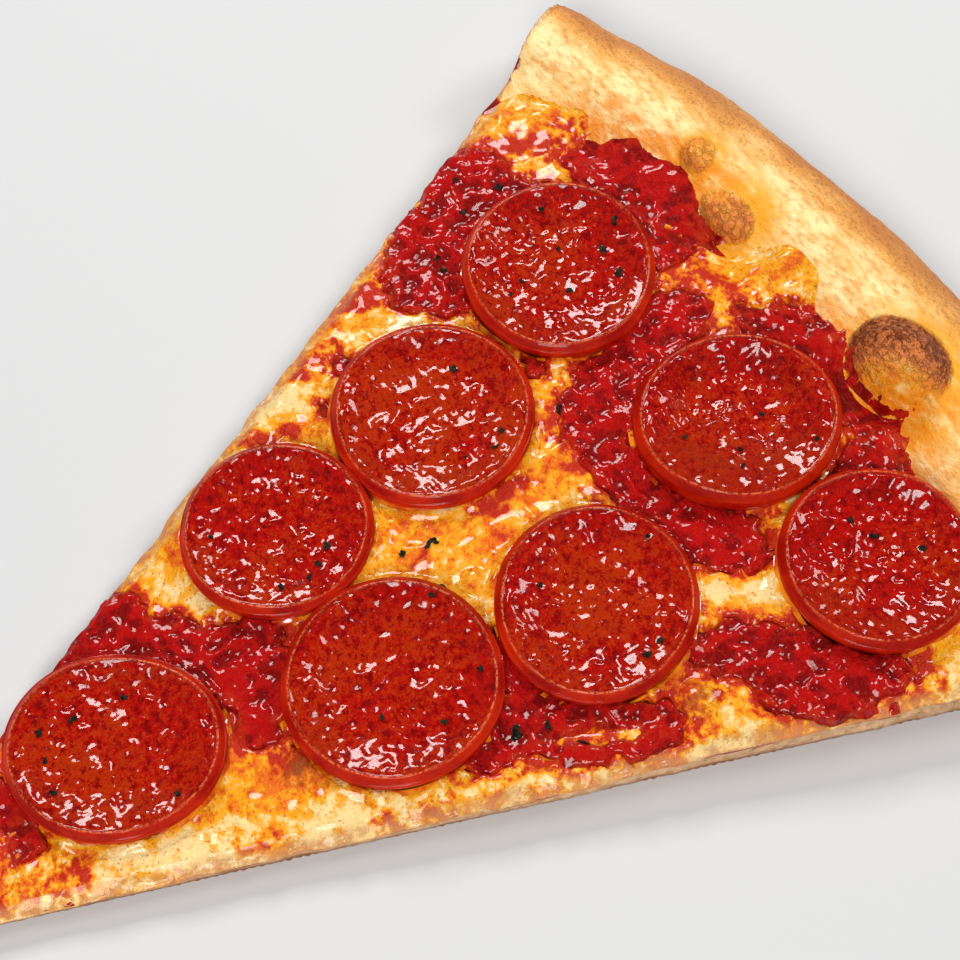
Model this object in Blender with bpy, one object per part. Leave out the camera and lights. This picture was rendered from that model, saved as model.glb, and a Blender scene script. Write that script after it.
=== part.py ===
"""One slice of an 18-inch pepperoni pizza, built in metres with +Z up.

Frame: origin at the bottom centre of the bounding box. The tip is at -Y, the
raised crust at +Y, and the slice lies flat on z = 0. Bottom to top: dough with
its crust rim, tomato sauce running through, cheese with windows where the
sauce shows, then eight cupped pepperoni slices sunk a little into the cheese.
"""
import math

import bmesh
import bpy

MM = 0.001

# The whole pizza the slice was cut from
PIZZA_RADIUS = 229 * MM
SLICES_IN_PIZZA = 8
HALF_ANGLE = math.pi / SLICES_IN_PIZZA
TIP_Y = -PIZZA_RADIUS / 2

# Thickness of the topped part, cheese top above the table
TOP_AT_TIP = 4.9 * MM
TOP_GROWTH = 7.6 * MM
TOP_GROWTH_POWER = 1.5
TOPPED_RADIUS = 203 * MM

# Layers
GAP = 0.3 * MM
CHEESE_AT_TIP = 1.1 * MM
CHEESE_FULL = 2.1 * MM
SAUCE_AT_TIP = 0.5 * MM
SAUCE_FULL = 0.9 * MM
FULL_LAYERS_FROM = 90 * MM
SAUCE_EDGE_RADIUS = 199.0 * MM
CHEESE_EDGE_RADIUS = 198.6 * MM

# Crust rim
RIM_FOOT_RADIUS = 200 * MM
RIM_CREST_RADIUS = 212 * MM
RIM_CREST_HEIGHT = 18.6 * MM
RIM_EQUATOR_HEIGHT = 8.5 * MM
RIM_UNDER_RADIUS = 220 * MM

COLUMNS = 12
RINGS = 15

# Blisters of the crust: x, distance from the tip, centre height, radii
BLISTERS = (
    (19.0 * MM, 204.5 * MM, 15.2 * MM, 10.2 * MM, 9.2 * MM, 8.4 * MM),
    (-38.5 * MM, 205.5 * MM, 15.0 * MM, 4.4 * MM, 4.0 * MM, 4.2 * MM),
    (-25.0 * MM, 202.0 * MM, 13.4 * MM, 6.0 * MM, 5.0 * MM, 4.6 * MM),
)

# Pepperoni: x, distance from the tip, radius, wall height, dish depth,
# rim slant, direction the rim is higher toward (degrees, 0 = +X)
PEPPERONI = (
    (-34.2 * MM, 169.2 * MM, 18.5 * MM, 4.9 * MM, 2.2 * MM, 0.7 * MM, 145.0),
    (-22.8 * MM, 132.2 * MM, 18.2 * MM, 4.6 * MM, 1.5 * MM, 0.3 * MM, 120.0),
    (-20.0 * MM, 97.2 * MM, 16.6 * MM, 4.5 * MM, 1.4 * MM, 0.2 * MM, 150.0),
    (10.8 * MM, 175.4 * MM, 18.0 * MM, 5.4 * MM, 3.0 * MM, 0.3 * MM, 60.0),
    (23.9 * MM, 133.9 * MM, 17.4 * MM, 4.7 * MM, 1.8 * MM, 0.7 * MM, 130.0),
    (15.2 * MM, 98.0 * MM, 18.1 * MM, 4.7 * MM, 1.8 * MM, 0.4 * MM, 140.0),
    (46.0 * MM, 177.2 * MM, 16.7 * MM, 5.0 * MM, 2.2 * MM, 0.5 * MM, 120.0),
    (-1.2 * MM, 55.0 * MM, 17.9 * MM, 4.3 * MM, 1.6 * MM, 0.4 * MM, -60.0),
)
PEPPERONI_SINK = 0.7 * MM
PEPPERONI_SINK_AT_TIP = 0.4 * MM
PEPPERONI_SIDES = 28

# Places where the sauce shows through the cheese:
# x, distance from the tip, half length, half width, turn (degrees)
SAUCE_PATCHES = (
    (-58.5 * MM, 164.0 * MM, 12.0 * MM, 7.5 * MM, 112.0),
    (-52.0 * MM, 149.0 * MM, 8.0 * MM, 5.5 * MM, 60.0),
    (-40.0 * MM, 192.0 * MM, 13.0 * MM, 4.2 * MM, 12.0),
    (-13.2 * MM, 171.0 * MM, 11.5 * MM, 5.0 * MM, 95.0),
    (1.5 * MM, 154.6 * MM, 13.0 * MM, 4.6 * MM, -8.0),
    (23.5 * MM, 157.8 * MM, 9.5 * MM, 5.6 * MM, 45.0),
    (9.0 * MM, 194.0 * MM, 16.0 * MM, 3.6 * MM, -3.0),
    (57.6 * MM, 160.6 * MM, 10.0 * MM, 6.0 * MM, 55.0),
    (48.6 * MM, 148.6 * MM, 10.0 * MM, 6.4 * MM, 20.0),
    (45.6 * MM, 122.4 * MM, 8.6 * MM, 4.6 * MM, 75.0),
    (33.6 * MM, 111.0 * MM, 8.6 * MM, 5.6 * MM, 105.0),
    (-3.6 * MM, 80.0 * MM, 9.2 * MM, 5.4 * MM, 60.0),
    (-18.6 * MM, 71.0 * MM, 9.0 * MM, 4.0 * MM, -10.0),
    (-21.0 * MM, 57.0 * MM, 8.6 * MM, 2.6 * MM, 112.0),
    (-3.0 * MM, 35.0 * MM, 6.0 * MM, 2.6 * MM, 5.0),
    (11.4 * MM, 37.0 * MM, 4.2 * MM, 1.8 * MM, 65.0),
)
PATCH_SIDES = 12
PATCH_RISE = 0.25 * MM


def clear_scene():
    for obj in list(bpy.data.objects):
        bpy.data.objects.remove(obj, do_unlink=True)


def smooth_step(t):
    t = min(max(t, 0.0), 1.0)
    return t * t * (3 - 2 * t)


def tip_distance(x, y):
    return math.hypot(x, y - TIP_Y)


def top_height(x, y):
    """Height of the cheese surface, with the soft swells of melted cheese."""
    r = tip_distance(x, y)
    base = TOP_AT_TIP + TOP_GROWTH * (r / TOPPED_RADIUS) ** TOP_GROWTH_POWER
    fade = smooth_step(r / FULL_LAYERS_FROM)
    swell = math.sin(x / (11 * MM) + 0.7) * math.cos(y / (14 * MM))
    return base + 0.22 * MM * fade * swell


def layer_thickness(x, y, at_tip, full):
    return at_tip + (full - at_tip) * smooth_step(tip_distance(x, y) / FULL_LAYERS_FROM)


def cheese_bottom(x, y):
    return top_height(x, y) - layer_thickness(x, y, CHEESE_AT_TIP, CHEESE_FULL)


def sauce_top(x, y):
    return cheese_bottom(x, y) - GAP


def sauce_bottom(x, y):
    return sauce_top(x, y) - layer_thickness(x, y, SAUCE_AT_TIP, SAUCE_FULL)


def dough_top(x, y):
    return sauce_bottom(x, y) - GAP


def make_material(name, color, roughness):
    material = bpy.data.materials.new(name)
    material.use_nodes = True
    shader = material.node_tree.nodes["Principled BSDF"]
    shader.inputs["Base Color"].default_value = (*color, 1.0)
    shader.inputs["Roughness"].default_value = roughness
    return material


def add_object(name, verts, faces, material=None):
    mesh = bpy.data.meshes.new(name)
    mesh.from_pydata(verts, [], faces)
    bm = bmesh.new()
    bm.from_mesh(mesh)
    bmesh.ops.recalc_face_normals(bm, faces=bm.faces)
    bm.to_mesh(mesh)
    bm.free()
    obj = bpy.data.objects.new(name, mesh)
    bpy.context.scene.collection.objects.link(obj)
    if material is not None:
        mesh.materials.append(material)
    return obj


def make_cutter(obj):
    obj.hide_render = True
    obj.display_type = "WIRE"
    return obj


def add_boolean(obj, other, operation):
    modifier = obj.modifiers.new(other.name, "BOOLEAN")
    modifier.operation = operation
    modifier.solver = "EXACT"
    modifier.object = other


def wedge_point(radius, angle):
    """Plan position at a distance and an angle seen from the tip."""
    return radius * math.sin(angle), TIP_Y + radius * math.cos(angle)


def column_angle(j):
    return -HALF_ANGLE + 2 * HALF_ANGLE * j / COLUMNS


def layer_slab(name, edge_radius, top, bottom, material):
    """A closed wedge between two height functions; the tip is one edge."""
    verts = [(0.0, TIP_Y, bottom(0.0, TIP_Y)), (0.0, TIP_Y, top(0.0, TIP_Y))]
    for i in range(1, RINGS + 1):
        radius = edge_radius * (i / RINGS)
        for j in range(COLUMNS + 1):
            x, y = wedge_point(radius, column_angle(j))
            verts.append((x, y, bottom(x, y)))
            verts.append((x, y, top(x, y)))

    def index(i, j, side):
        return 2 + 2 * ((i - 1) * (COLUMNS + 1) + j) + side

    faces = []
    for j in range(COLUMNS):
        faces.append((0, index(1, j, 0), index(1, j + 1, 0)))
        faces.append((1, index(1, j + 1, 1), index(1, j, 1)))
        outer = (index(RINGS, j, 0), index(RINGS, j + 1, 0))
        faces.append((*outer, index(RINGS, j + 1, 1), index(RINGS, j, 1)))
        for i in range(1, RINGS):
            for side in (0, 1):
                near = (index(i, j, side), index(i, j + 1, side))
                far = (index(i + 1, j + 1, side), index(i + 1, j, side))
                faces.append((*near, *far))
    for j in (0, COLUMNS):
        faces.append((0, index(1, j, 0), index(1, j, 1), 1))
        for i in range(1, RINGS):
            lower = (index(i, j, 0), index(i + 1, j, 0))
            faces.append((*lower, index(i + 1, j, 1), index(i, j, 1)))
    return add_object(name, verts, faces, material)


def rim_profile(angle):
    """Crust section at one angle, from under the rim over the crest inward."""
    turn = angle / HALF_ANGLE
    crest = RIM_CREST_HEIGHT + 0.5 * MM * math.sin(5.1 * turn + 0.6)
    crest -= 1.6 * MM * smooth_step((-turn - 0.86) / 0.14)
    outer = PIZZA_RADIUS - 0.4 * MM * abs(math.sin(3.3 * turn))
    half_height = crest - RIM_EQUATOR_HEIGHT
    points = [(RIM_UNDER_RADIUS, 0.0)]
    for k in range(1, 3):
        a = math.pi / 2 * (1 - k / 3)
        radius = outer - (outer - RIM_UNDER_RADIUS) * (1 - math.cos(a))
        points.append((radius, RIM_EQUATOR_HEIGHT * (1 - math.sin(a))))
    for k in range(0, 6):
        a = math.pi / 2 * k / 5
        radius = RIM_CREST_RADIUS + (outer - RIM_CREST_RADIUS) * math.cos(a)
        points.append((radius, RIM_EQUATOR_HEIGHT + half_height * math.sin(a)))
    foot = dough_top(*wedge_point(RIM_FOOT_RADIUS, angle))
    for k in range(1, 5):
        a = math.pi / 2 * k / 4
        radius = RIM_CREST_RADIUS - (RIM_CREST_RADIUS - RIM_FOOT_RADIUS) * math.sin(a)
        points.append((radius, foot + (crest - foot) * math.cos(a) ** 0.8))
    return points


def build_dough(material):
    """Slab and crust rim swept over the slice angle, with its blisters."""
    sections = []
    for j in range(COLUMNS + 1):
        angle = column_angle(j)
        section = [(r, 0.0) for r in (70 * MM, 140 * MM)]
        section += rim_profile(angle)
        for i in range(RINGS - 1, 0, -1):
            radius = SAUCE_EDGE_RADIUS * i / RINGS
            section.append((radius, dough_top(*wedge_point(radius, angle))))
        sections.append(section)
    verts = [(0.0, TIP_Y, 0.0), (0.0, TIP_Y, dough_top(0.0, TIP_Y))]
    count = len(sections[0])
    for j, section in enumerate(sections):
        for radius, z in section:
            x, y = wedge_point(radius, column_angle(j))
            verts.append((x, y, z))
    faces = []
    for j in range(COLUMNS):
        a = 2 + j * count
        b = a + count
        faces.append((0, a, b))
        faces.append((1, b + count - 1, a + count - 1))
        for k in range(count - 1):
            faces.append((a + k, a + k + 1, b + k + 1, b + k))
    for j in (0, COLUMNS):
        a = 2 + j * count
        faces.append((0, *range(a, a + count), 1))
    dough = add_object("dough", verts, faces, material)
    for number, (x, from_tip, z, rx, ry, rz) in enumerate(BLISTERS):
        blister = ellipsoid(f"blister_{number + 1}", (x, TIP_Y + from_tip, z), (rx, ry, rz))
        add_boolean(dough, blister, "UNION")
    return dough


def ellipsoid(name, centre, radii, sides=14, rings=7):
    verts = [(centre[0], centre[1], centre[2] - radii[2])]
    for i in range(1, rings):
        a = math.pi * i / rings
        for j in range(sides):
            t = 2 * math.pi * j / sides
            x = centre[0] + radii[0] * math.sin(a) * math.cos(t)
            y = centre[1] + radii[1] * math.sin(a) * math.sin(t)
            verts.append((x, y, centre[2] - radii[2] * math.cos(a)))
    verts.append((centre[0], centre[1], centre[2] + radii[2]))
    faces = []
    last = len(verts) - 1
    for j in range(sides):
        n = (j + 1) % sides
        faces.append((0, 1 + n, 1 + j))
        faces.append((last, last - sides + j, last - sides + n))
        for i in range(rings - 2):
            a = 1 + i * sides
            faces.append((a + j, a + n, a + sides + n, a + sides + j))
    return make_cutter(add_object(name, verts, faces))


def lathe(name, centre, rings, height, sides, turn=0.0, squash=1.0, material=None):
    """Closed body of revolution draped over a height function.

    rings: (radius, rise function of angle) from the bottom centre outward, up
    and back in to the top centre.
    """
    cx, cy = centre
    verts = []

    def put(radius, rise, t):
        along = radius * math.cos(t)
        across = radius * squash * math.sin(t)
        x = cx + along * math.cos(turn) - across * math.sin(turn)
        y = cy + along * math.sin(turn) + across * math.cos(turn)
        verts.append((x, y, height(x, y) + rise))

    put(0.0, rings[0][1](0.0), 0.0)
    for radius, rise in rings:
        for j in range(sides):
            t = 2 * math.pi * j / sides
            put(radius, rise(t), t)
    put(0.0, rings[-1][1](0.0), 0.0)
    faces = []
    last = len(verts) - 1
    for j in range(sides):
        n = (j + 1) % sides
        faces.append((0, 1 + n, 1 + j))
        faces.append((last, last - sides + j, last - sides + n))
        for i in range(len(rings) - 1):
            a = 1 + i * sides
            faces.append((a + j, a + n, a + sides + n, a + sides + j))
    return add_object(name, verts, faces, material)


def pepperoni_sink(from_tip):
    share = smooth_step(from_tip / FULL_LAYERS_FROM)
    return PEPPERONI_SINK_AT_TIP + (PEPPERONI_SINK - PEPPERONI_SINK_AT_TIP) * share


def build_pepperoni(number, values, material):
    x, from_tip, radius, wall, dish, slant, toward = values
    sink = pepperoni_sink(from_tip)
    high_side = math.radians(toward)

    def level(rise, share):
        def at(t):
            wave = 0.15 * MM * math.sin(3 * t + number)
            lift = share * (slant * math.cos(t - high_side) + wave)
            return -sink + rise + lift
        return at

    floor = wall - dish
    rings = (
        (radius * 0.90, level(0.0, 0.0)),
        (radius, level(1.1 * MM, 0.0)),
        (radius, level(wall - 0.7 * MM, 1.0)),
        (radius * 0.955, level(wall, 1.0)),
        (radius * 0.86, level(wall - 0.35 * dish, 0.8)),
        (radius * 0.66, level(floor + 0.12 * dish, 0.3)),
        (radius * 0.33, level(floor, 0.0)),
    )
    centre = (x, TIP_Y + from_tip)
    name = f"pepperoni_{number}"
    return lathe(name, centre, rings, top_height, PEPPERONI_SIDES, material=material)


def pepperoni_pocket(number, values):
    """Clearance body that keeps cheese and sauce 0.3 mm off one pepperoni."""
    x, from_tip, radius = values[:3]
    sink = pepperoni_sink(from_tip)
    rings = (
        (radius * 0.92, lambda t: -sink - GAP),
        (radius / math.cos(math.pi / PEPPERONI_SIDES) + GAP, lambda t: 0.5 * MM - sink),
        (radius / math.cos(math.pi / PEPPERONI_SIDES) + GAP, lambda t: 8 * MM),
    )
    name = f"pocket_{number}"
    centre = (x, TIP_Y + from_tip)
    return make_cutter(lathe(name, centre, rings, top_height, PEPPERONI_SIDES))


def clamp_to_wedge(obj, inset):
    """Keep a mound inside the cut sides and behind the crust foot."""
    normal = (math.cos(HALF_ANGLE), -math.sin(HALF_ANGLE))
    for vert in obj.data.vertices:
        for side in (1, -1):
            beyond = side * vert.co.x * normal[0] + (vert.co.y - TIP_Y) * normal[1] + inset
            if beyond > 0:
                vert.co.x -= side * beyond * normal[0]
                vert.co.y -= beyond * normal[1]
        reach = tip_distance(vert.co.x, vert.co.y)
        limit = CHEESE_EDGE_RADIUS - inset
        if reach > limit:
            vert.co.x *= limit / reach
            vert.co.y = TIP_Y + (vert.co.y - TIP_Y) * limit / reach


def build_mounds_and_windows():
    """For each patch: a domed sauce mound, and the window it fills."""
    mounds = []
    windows = []
    for number, (x, from_tip, length, width, turn) in enumerate(SAUCE_PATCHES):
        centre = (x, TIP_Y + from_tip)
        angle = math.radians(turn)
        depth = top_height(*centre) - sauce_top(*centre)
        depth += 0.5 * (sauce_top(*centre) - sauce_bottom(*centre))
        rings = (
            (length, lambda t: -depth),
            (length, lambda t: -0.35 * MM),
            (length * 0.6, lambda t: PATCH_RISE),
        )
        name = f"mound_{number + 1}"
        mound = lathe(name, centre, rings, top_height, PATCH_SIDES, angle, width / length)
        clamp_to_wedge(mound, 0.4 * MM)
        mounds.append(make_cutter(mound))
        wide = (width + 0.5 * MM) / (length + 0.5 * MM)
        rings = (
            (length + 0.5 * MM, lambda t: -CHEESE_FULL - 1 * MM),
            (length + 0.5 * MM, lambda t: 5 * MM),
        )
        name = f"window_{number + 1}"
        window = lathe(name, centre, rings, top_height, PATCH_SIDES, angle, wide)
        windows.append(make_cutter(window))
    return mounds, windows


def build_slice():
    clear_scene()
    crust = make_material("baked_dough", (0.72, 0.45, 0.19), 0.75)
    tomato = make_material("tomato", (0.42, 0.035, 0.012), 0.35)
    melted = make_material("melted_cheese", (0.86, 0.58, 0.20), 0.35)
    meat = make_material("pepperoni_meat", (0.42, 0.05, 0.022), 0.35)
    build_dough(crust)
    sauce = layer_slab("tomato_sauce", SAUCE_EDGE_RADIUS, sauce_top, sauce_bottom, tomato)
    cheese = layer_slab("cheese", CHEESE_EDGE_RADIUS, top_height, cheese_bottom, melted)
    mounds, windows = build_mounds_and_windows()
    for mound in mounds:
        add_boolean(sauce, mound, "UNION")
    for window in windows:
        add_boolean(cheese, window, "DIFFERENCE")
    for number, (x, from_tip, z, rx, ry, rz) in enumerate(BLISTERS, start=1):
        radii = (rx + 1.6 * GAP, ry + 1.6 * GAP, rz + 1.6 * GAP)
        room = ellipsoid(f"blister_room_{number}", (x, TIP_Y + from_tip, z), radii)
        add_boolean(sauce, room, "DIFFERENCE")
        add_boolean(cheese, room, "DIFFERENCE")
    for number, values in enumerate(PEPPERONI, start=1):
        pocket = pepperoni_pocket(number, values)
        add_boolean(sauce, pocket, "DIFFERENCE")
        add_boolean(cheese, pocket, "DIFFERENCE")
        build_pepperoni(number, values, meat)


build_slice()
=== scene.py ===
import math

import bmesh
import bpy
import numpy as np
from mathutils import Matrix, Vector
from mathutils.bvhtree import BVHTree


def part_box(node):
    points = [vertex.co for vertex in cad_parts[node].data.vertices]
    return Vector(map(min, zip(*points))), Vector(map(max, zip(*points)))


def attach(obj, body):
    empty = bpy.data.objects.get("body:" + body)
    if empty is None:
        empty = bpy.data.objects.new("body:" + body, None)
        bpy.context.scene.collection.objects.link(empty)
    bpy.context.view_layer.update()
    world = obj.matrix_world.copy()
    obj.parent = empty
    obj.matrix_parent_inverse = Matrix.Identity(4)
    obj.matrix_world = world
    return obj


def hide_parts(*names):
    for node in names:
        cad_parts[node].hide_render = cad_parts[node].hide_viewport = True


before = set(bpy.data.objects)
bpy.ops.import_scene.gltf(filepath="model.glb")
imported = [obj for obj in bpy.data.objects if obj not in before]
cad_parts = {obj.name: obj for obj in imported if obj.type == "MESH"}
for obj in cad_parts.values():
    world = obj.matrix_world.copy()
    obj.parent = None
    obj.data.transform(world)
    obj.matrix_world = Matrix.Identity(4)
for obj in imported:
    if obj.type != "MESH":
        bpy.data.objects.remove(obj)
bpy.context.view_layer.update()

MM = 0.001

# ---------------------------------------------------------------- baked dough
# The slice's bread: a thin stretched base that thickens toward the edge and
# swells into a round crust rim with blisters. It is baked wheat dough, brown
# underneath, pale and golden on the rim, and its two cut sides show the crumb.
dough_low, dough_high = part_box("dough")
TIP = Vector((0, dough_low.y, 0))
PIZZA_RADIUS = dough_high.y - dough_low.y
HALF_ANGLE = math.asin(dough_high.x / PIZZA_RADIUS)
CUT_NORMAL = Vector((math.cos(HALF_ANGLE), -math.sin(HALF_ANGLE), 0))

TOP_AT_TIP = 4.9 * MM
TOP_GROWTH = 7.6 * MM
TOPPED_RADIUS = 203 * MM
CHEESE_AT_TIP, CHEESE_FULL = 1.1 * MM, 2.1 * MM
SAUCE_AT_TIP, SAUCE_FULL = 0.5 * MM, 0.9 * MM
FULL_LAYERS_FROM = 90 * MM

RIM_FOOT_RADIUS = 197 * MM
RIM_CREST_RADIUS = 212 * MM
RIM_CREST_HEIGHT = 18.2 * MM
RIM_EQUATOR_HEIGHT = 8.5 * MM
RIM_UNDER_RADIUS = 219 * MM
DOUGH_VOXEL = 0.58 * MM

# x, distance from the tip, centre height, three radii, how brown it is baked
BLISTERS = (
    (19.6, 206.4, 13.6, 9.8, 7.6, 9.2, 1.0),
    (-38.5, 206.5, 14.4, 4.2, 3.8, 4.4, 0.30),
    (-25.5, 204.0, 12.4, 6.4, 4.8, 4.2, 0.42),
    (52.0, 203.5, 15.0, 6.5, 4.6, 3.4, 0.15),
)


def smooth(t):
    t = np.clip(t, 0.0, 1.0)
    return t * t * (3 - 2 * t)


def from_tip(x, y):
    """Distance from the slice's tip."""
    return np.hypot(x, y - TIP.y)


def topping_height(x, y):
    """Height of the melted top over the table."""
    r = from_tip(x, y)
    base = TOP_AT_TIP + TOP_GROWTH * (r / TOPPED_RADIUS) ** 1.5
    swell = np.sin(x / (11 * MM) + 0.7) * np.cos(y / (14 * MM))
    return base + 0.22 * MM * smooth(r / FULL_LAYERS_FROM) * swell


def cheese_depth(r):
    return CHEESE_AT_TIP + (CHEESE_FULL - CHEESE_AT_TIP) * smooth(r / FULL_LAYERS_FROM)


def sauce_depth(r):
    return SAUCE_AT_TIP + (SAUCE_FULL - SAUCE_AT_TIP) * smooth(r / FULL_LAYERS_FROM)


def lumps(points, size, seed):
    """Soft random swelling between -1 and 1, with lumps about one size across."""
    spot = points / size + seed * 17.31
    cell = np.floor(spot).astype(np.int64)
    part = spot - cell
    part = part * part * part * (part * (part * 6 - 15) + 10)
    total = np.zeros(len(points))
    for corner in range(8):
        step = np.array([corner & 1, corner >> 1 & 1, corner >> 2 & 1])
        k = cell + step
        mixed = k[:, 0] * 73856093 ^ k[:, 1] * 19349663 ^ k[:, 2] * 83492791
        mixed = (mixed ^ seed * 2654435761) & 0xFFFFFFFF
        mixed = ((mixed ^ mixed >> 13) * 1274126177) & 0xFFFFFFFF
        value = ((mixed ^ mixed >> 16) & 0xFFFF) / 32767.5 - 1
        total += np.where(step, part, 1 - part).prod(axis=1) * value
    return total


def pores(points, size, seed):
    """0 in the middle of each random air cell, about 1 on the walls between."""
    spot = points / size + seed * 9.7
    cell = np.floor(spot).astype(np.int64)
    near = np.full(len(points), 9.0)
    for dx in (-1, 0, 1):
        for dy in (-1, 0, 1):
            for dz in (-1, 0, 1):
                k = cell + np.array([dx, dy, dz])
                mixed = k[:, 0] * 73856093 ^ k[:, 1] * 19349663 ^ k[:, 2] * 83492791
                mixed = (mixed ^ seed * 2654435761) & 0xFFFFFFFF
                mixed = ((mixed ^ mixed >> 13) * 1274126177) & 0xFFFFFFFF
                centre = np.stack([(mixed >> s & 0xFF) / 255 for s in (0, 8, 16)], 1)
                near = np.minimum(near, np.linalg.norm(k + centre - spot, axis=1))
    return near


def wander(flat, side):
    """Sideways wander of the two cuts in mm; the left one was cut more roughly."""
    wave = 0.35 * lumps(flat, 13 * MM, 14) + 0.42 * lumps(flat, 4.6 * MM, 15)
    return wave * np.where(side < 0, 1.5, 0.7)


def points_of(piece):
    co = np.empty(len(piece.data.vertices) * 3)
    piece.data.vertices.foreach_get("co", co)
    return co.reshape(-1, 3)


def normals_of(piece):
    no = np.empty(len(piece.data.vertices) * 3)
    piece.data.vertices.foreach_get("normal", no)
    return no.reshape(-1, 3)


def place_points(piece, co):
    piece.data.vertices.foreach_set("co", np.ascontiguousarray(co).ravel())
    piece.data.update()


def paint(piece, name, values):
    """Keep one number per point, for the piece's material to read."""
    layer = piece.data.attributes.new(name, "FLOAT", "POINT")
    layer.data.foreach_set("value", np.clip(values, 0, 1).astype(np.float32))


def deselect():
    if bpy.context.mode != "OBJECT":
        bpy.ops.object.mode_set(mode="OBJECT")
    bpy.ops.object.select_all(action="DESELECT")


def take(piece):
    deselect()
    piece.select_set(True)
    bpy.context.view_layer.objects.active = piece


def new_piece(name):
    """Names the primitive just added and moves its place into its mesh."""
    piece = bpy.context.object
    piece.name = name
    piece.data.name = name
    bpy.ops.object.transform_apply(location=True, rotation=True, scale=True)
    return piece


def apply_modifier(piece, kind, **settings):
    modifier = piece.modifiers.new(kind.title(), kind)
    for key, value in settings.items():
        setattr(modifier, key, value)
    take(piece)
    bpy.ops.object.modifier_apply(modifier=modifier.name)


def pick(piece, kind, test):
    """In edit mode, selects the vertices, edges or faces that pass a test."""
    mesh = bmesh.from_edit_mesh(piece.data)
    for part in (mesh.verts, mesh.edges, mesh.faces):
        for item in part:
            item.select = False
    for item in getattr(mesh, kind):
        if test(item):
            item.select = True
    mesh.select_flush_mode()
    bmesh.update_edit_mesh(piece.data)


def rim_outline():
    """Crust section from under the rim, over the crest, to its inner foot."""
    line = []
    for a in np.linspace(math.pi / 2, 0, 7):
        radius = PIZZA_RADIUS - (PIZZA_RADIUS - RIM_UNDER_RADIUS) * (1 - math.cos(a))
        line.append((radius, RIM_EQUATOR_HEIGHT * (1 - math.sin(a))))
    for a in np.linspace(0, math.pi / 2, 16)[1:]:
        radius = RIM_CREST_RADIUS + (PIZZA_RADIUS - RIM_CREST_RADIUS) * math.cos(a)
        height = RIM_CREST_HEIGHT - RIM_EQUATOR_HEIGHT
        line.append((radius, RIM_EQUATOR_HEIGHT + height * math.sin(a)))
    foot = slab_height(RIM_FOOT_RADIUS)
    for t in np.linspace(0, 1, 16)[1:]:
        radius = RIM_CREST_RADIUS - (RIM_CREST_RADIUS - RIM_FOOT_RADIUS) * t
        line.append((radius, foot + (RIM_CREST_HEIGHT - foot) * (1 - smooth(t))))
    return line


def slab_height(r):
    base = TOP_AT_TIP + TOP_GROWTH * (r / TOPPED_RADIUS) ** 1.5
    return base - cheese_depth(r) - sauce_depth(r)


outline = [(1.2 * MM, 0.0), (75 * MM, 0.0), (150 * MM, 0.0)] + rim_outline()
outline += [(r, float(slab_height(r))) for r in np.linspace(192, 1.2, 34) * MM]

deselect()
bpy.ops.mesh.primitive_circle_add(vertices=len(outline), radius=0.01)
dough = new_piece("baked_dough")
for vert, (radius, height) in zip(dough.data.vertices, outline):
    side = -HALF_ANGLE
    vert.co = TIP + Vector((radius * math.sin(side), radius * math.cos(side), height))
take(dough)
bpy.ops.object.mode_set(mode="EDIT")
bpy.ops.mesh.select_all(action="SELECT")
bpy.ops.mesh.spin(steps=48, angle=2 * HALF_ANGLE, center=TIP, axis=(0, 0, 1))
for side in (-1, 1):
    plane = Vector((side * CUT_NORMAL.x, CUT_NORMAL.y, 0))
    pick(dough, "verts", lambda v: abs((v.co - TIP).dot(plane)) < 1e-6)
    bpy.ops.mesh.edge_face_add()
bpy.ops.mesh.select_all(action="SELECT")
bpy.ops.mesh.normals_make_consistent(inside=False)
bpy.ops.object.mode_set(mode="OBJECT")

for x, far, z, rx, ry, rz, _ in BLISTERS:
    deselect()
    bpy.ops.mesh.primitive_ico_sphere_add(
        subdivisions=4,
        radius=MM,
        location=(x * MM, TIP.y + far * MM, z * MM),
        scale=(rx, ry, rz),
    )
    blister = new_piece("blister")
    take(dough)
    blister.select_set(True)
    bpy.ops.object.join()
apply_modifier(dough, "REMESH", mode="VOXEL", voxel_size=DOUGH_VOXEL)
apply_modifier(dough, "SMOOTH", iterations=3)

co = points_of(dough)
normal = normals_of(dough)
r = from_tip(co[:, 0], co[:, 1])
turn = np.arctan2(co[:, 0], co[:, 1] - TIP.y) / HALF_ANGLE
past_right = (co - np.array(TIP)) @ np.array(CUT_NORMAL)
past_left = (co - np.array(TIP)) @ np.array((-CUT_NORMAL.x, CUT_NORMAL.y, 0))
past = np.maximum(past_right, past_left)
side_way = np.where(past_right > past_left, 1.0, -1.0)
outward = np.stack([side_way * CUT_NORMAL.x, np.full(len(co), CUT_NORMAL.y), 0 * r], 1)
on_cut = smooth(1 + past / (0.5 * MM)) * (np.abs((normal * outward).sum(1)) > 0.5)
above = smooth((co[:, 2] - 1 * MM) / (3 * MM))

# The rim rises unevenly in the oven.
swell = 0.75 * lumps(co, 27 * MM, 3) + 0.35 * lumps(co, 9 * MM, 4)
swell += 0.12 * lumps(co, 3.2 * MM, 5) - 0.45
on_rim = smooth((r - 199 * MM) / (9 * MM)) * above * (1 - on_cut)
co += normal * (swell * on_rim * MM)[:, None]
ripple = 0.10 * lumps(co, 1.7 * MM, 6) + 0.07 * lumps(co * (1, 1, 0.6), 0.9 * MM, 7)
co += normal * (ripple * on_rim * MM)[:, None]

# The cutter pinches the rim where it enters.
pinch = smooth((np.abs(turn) - 0.93) / 0.07) * smooth((r - 200 * MM) / (8 * MM))
pinch *= np.where(turn < 0, 0.2, 0.3)
co[:, 2] -= 1.2 * MM * pinch * smooth((co[:, 2] - 4 * MM) / (12 * MM))
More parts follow.
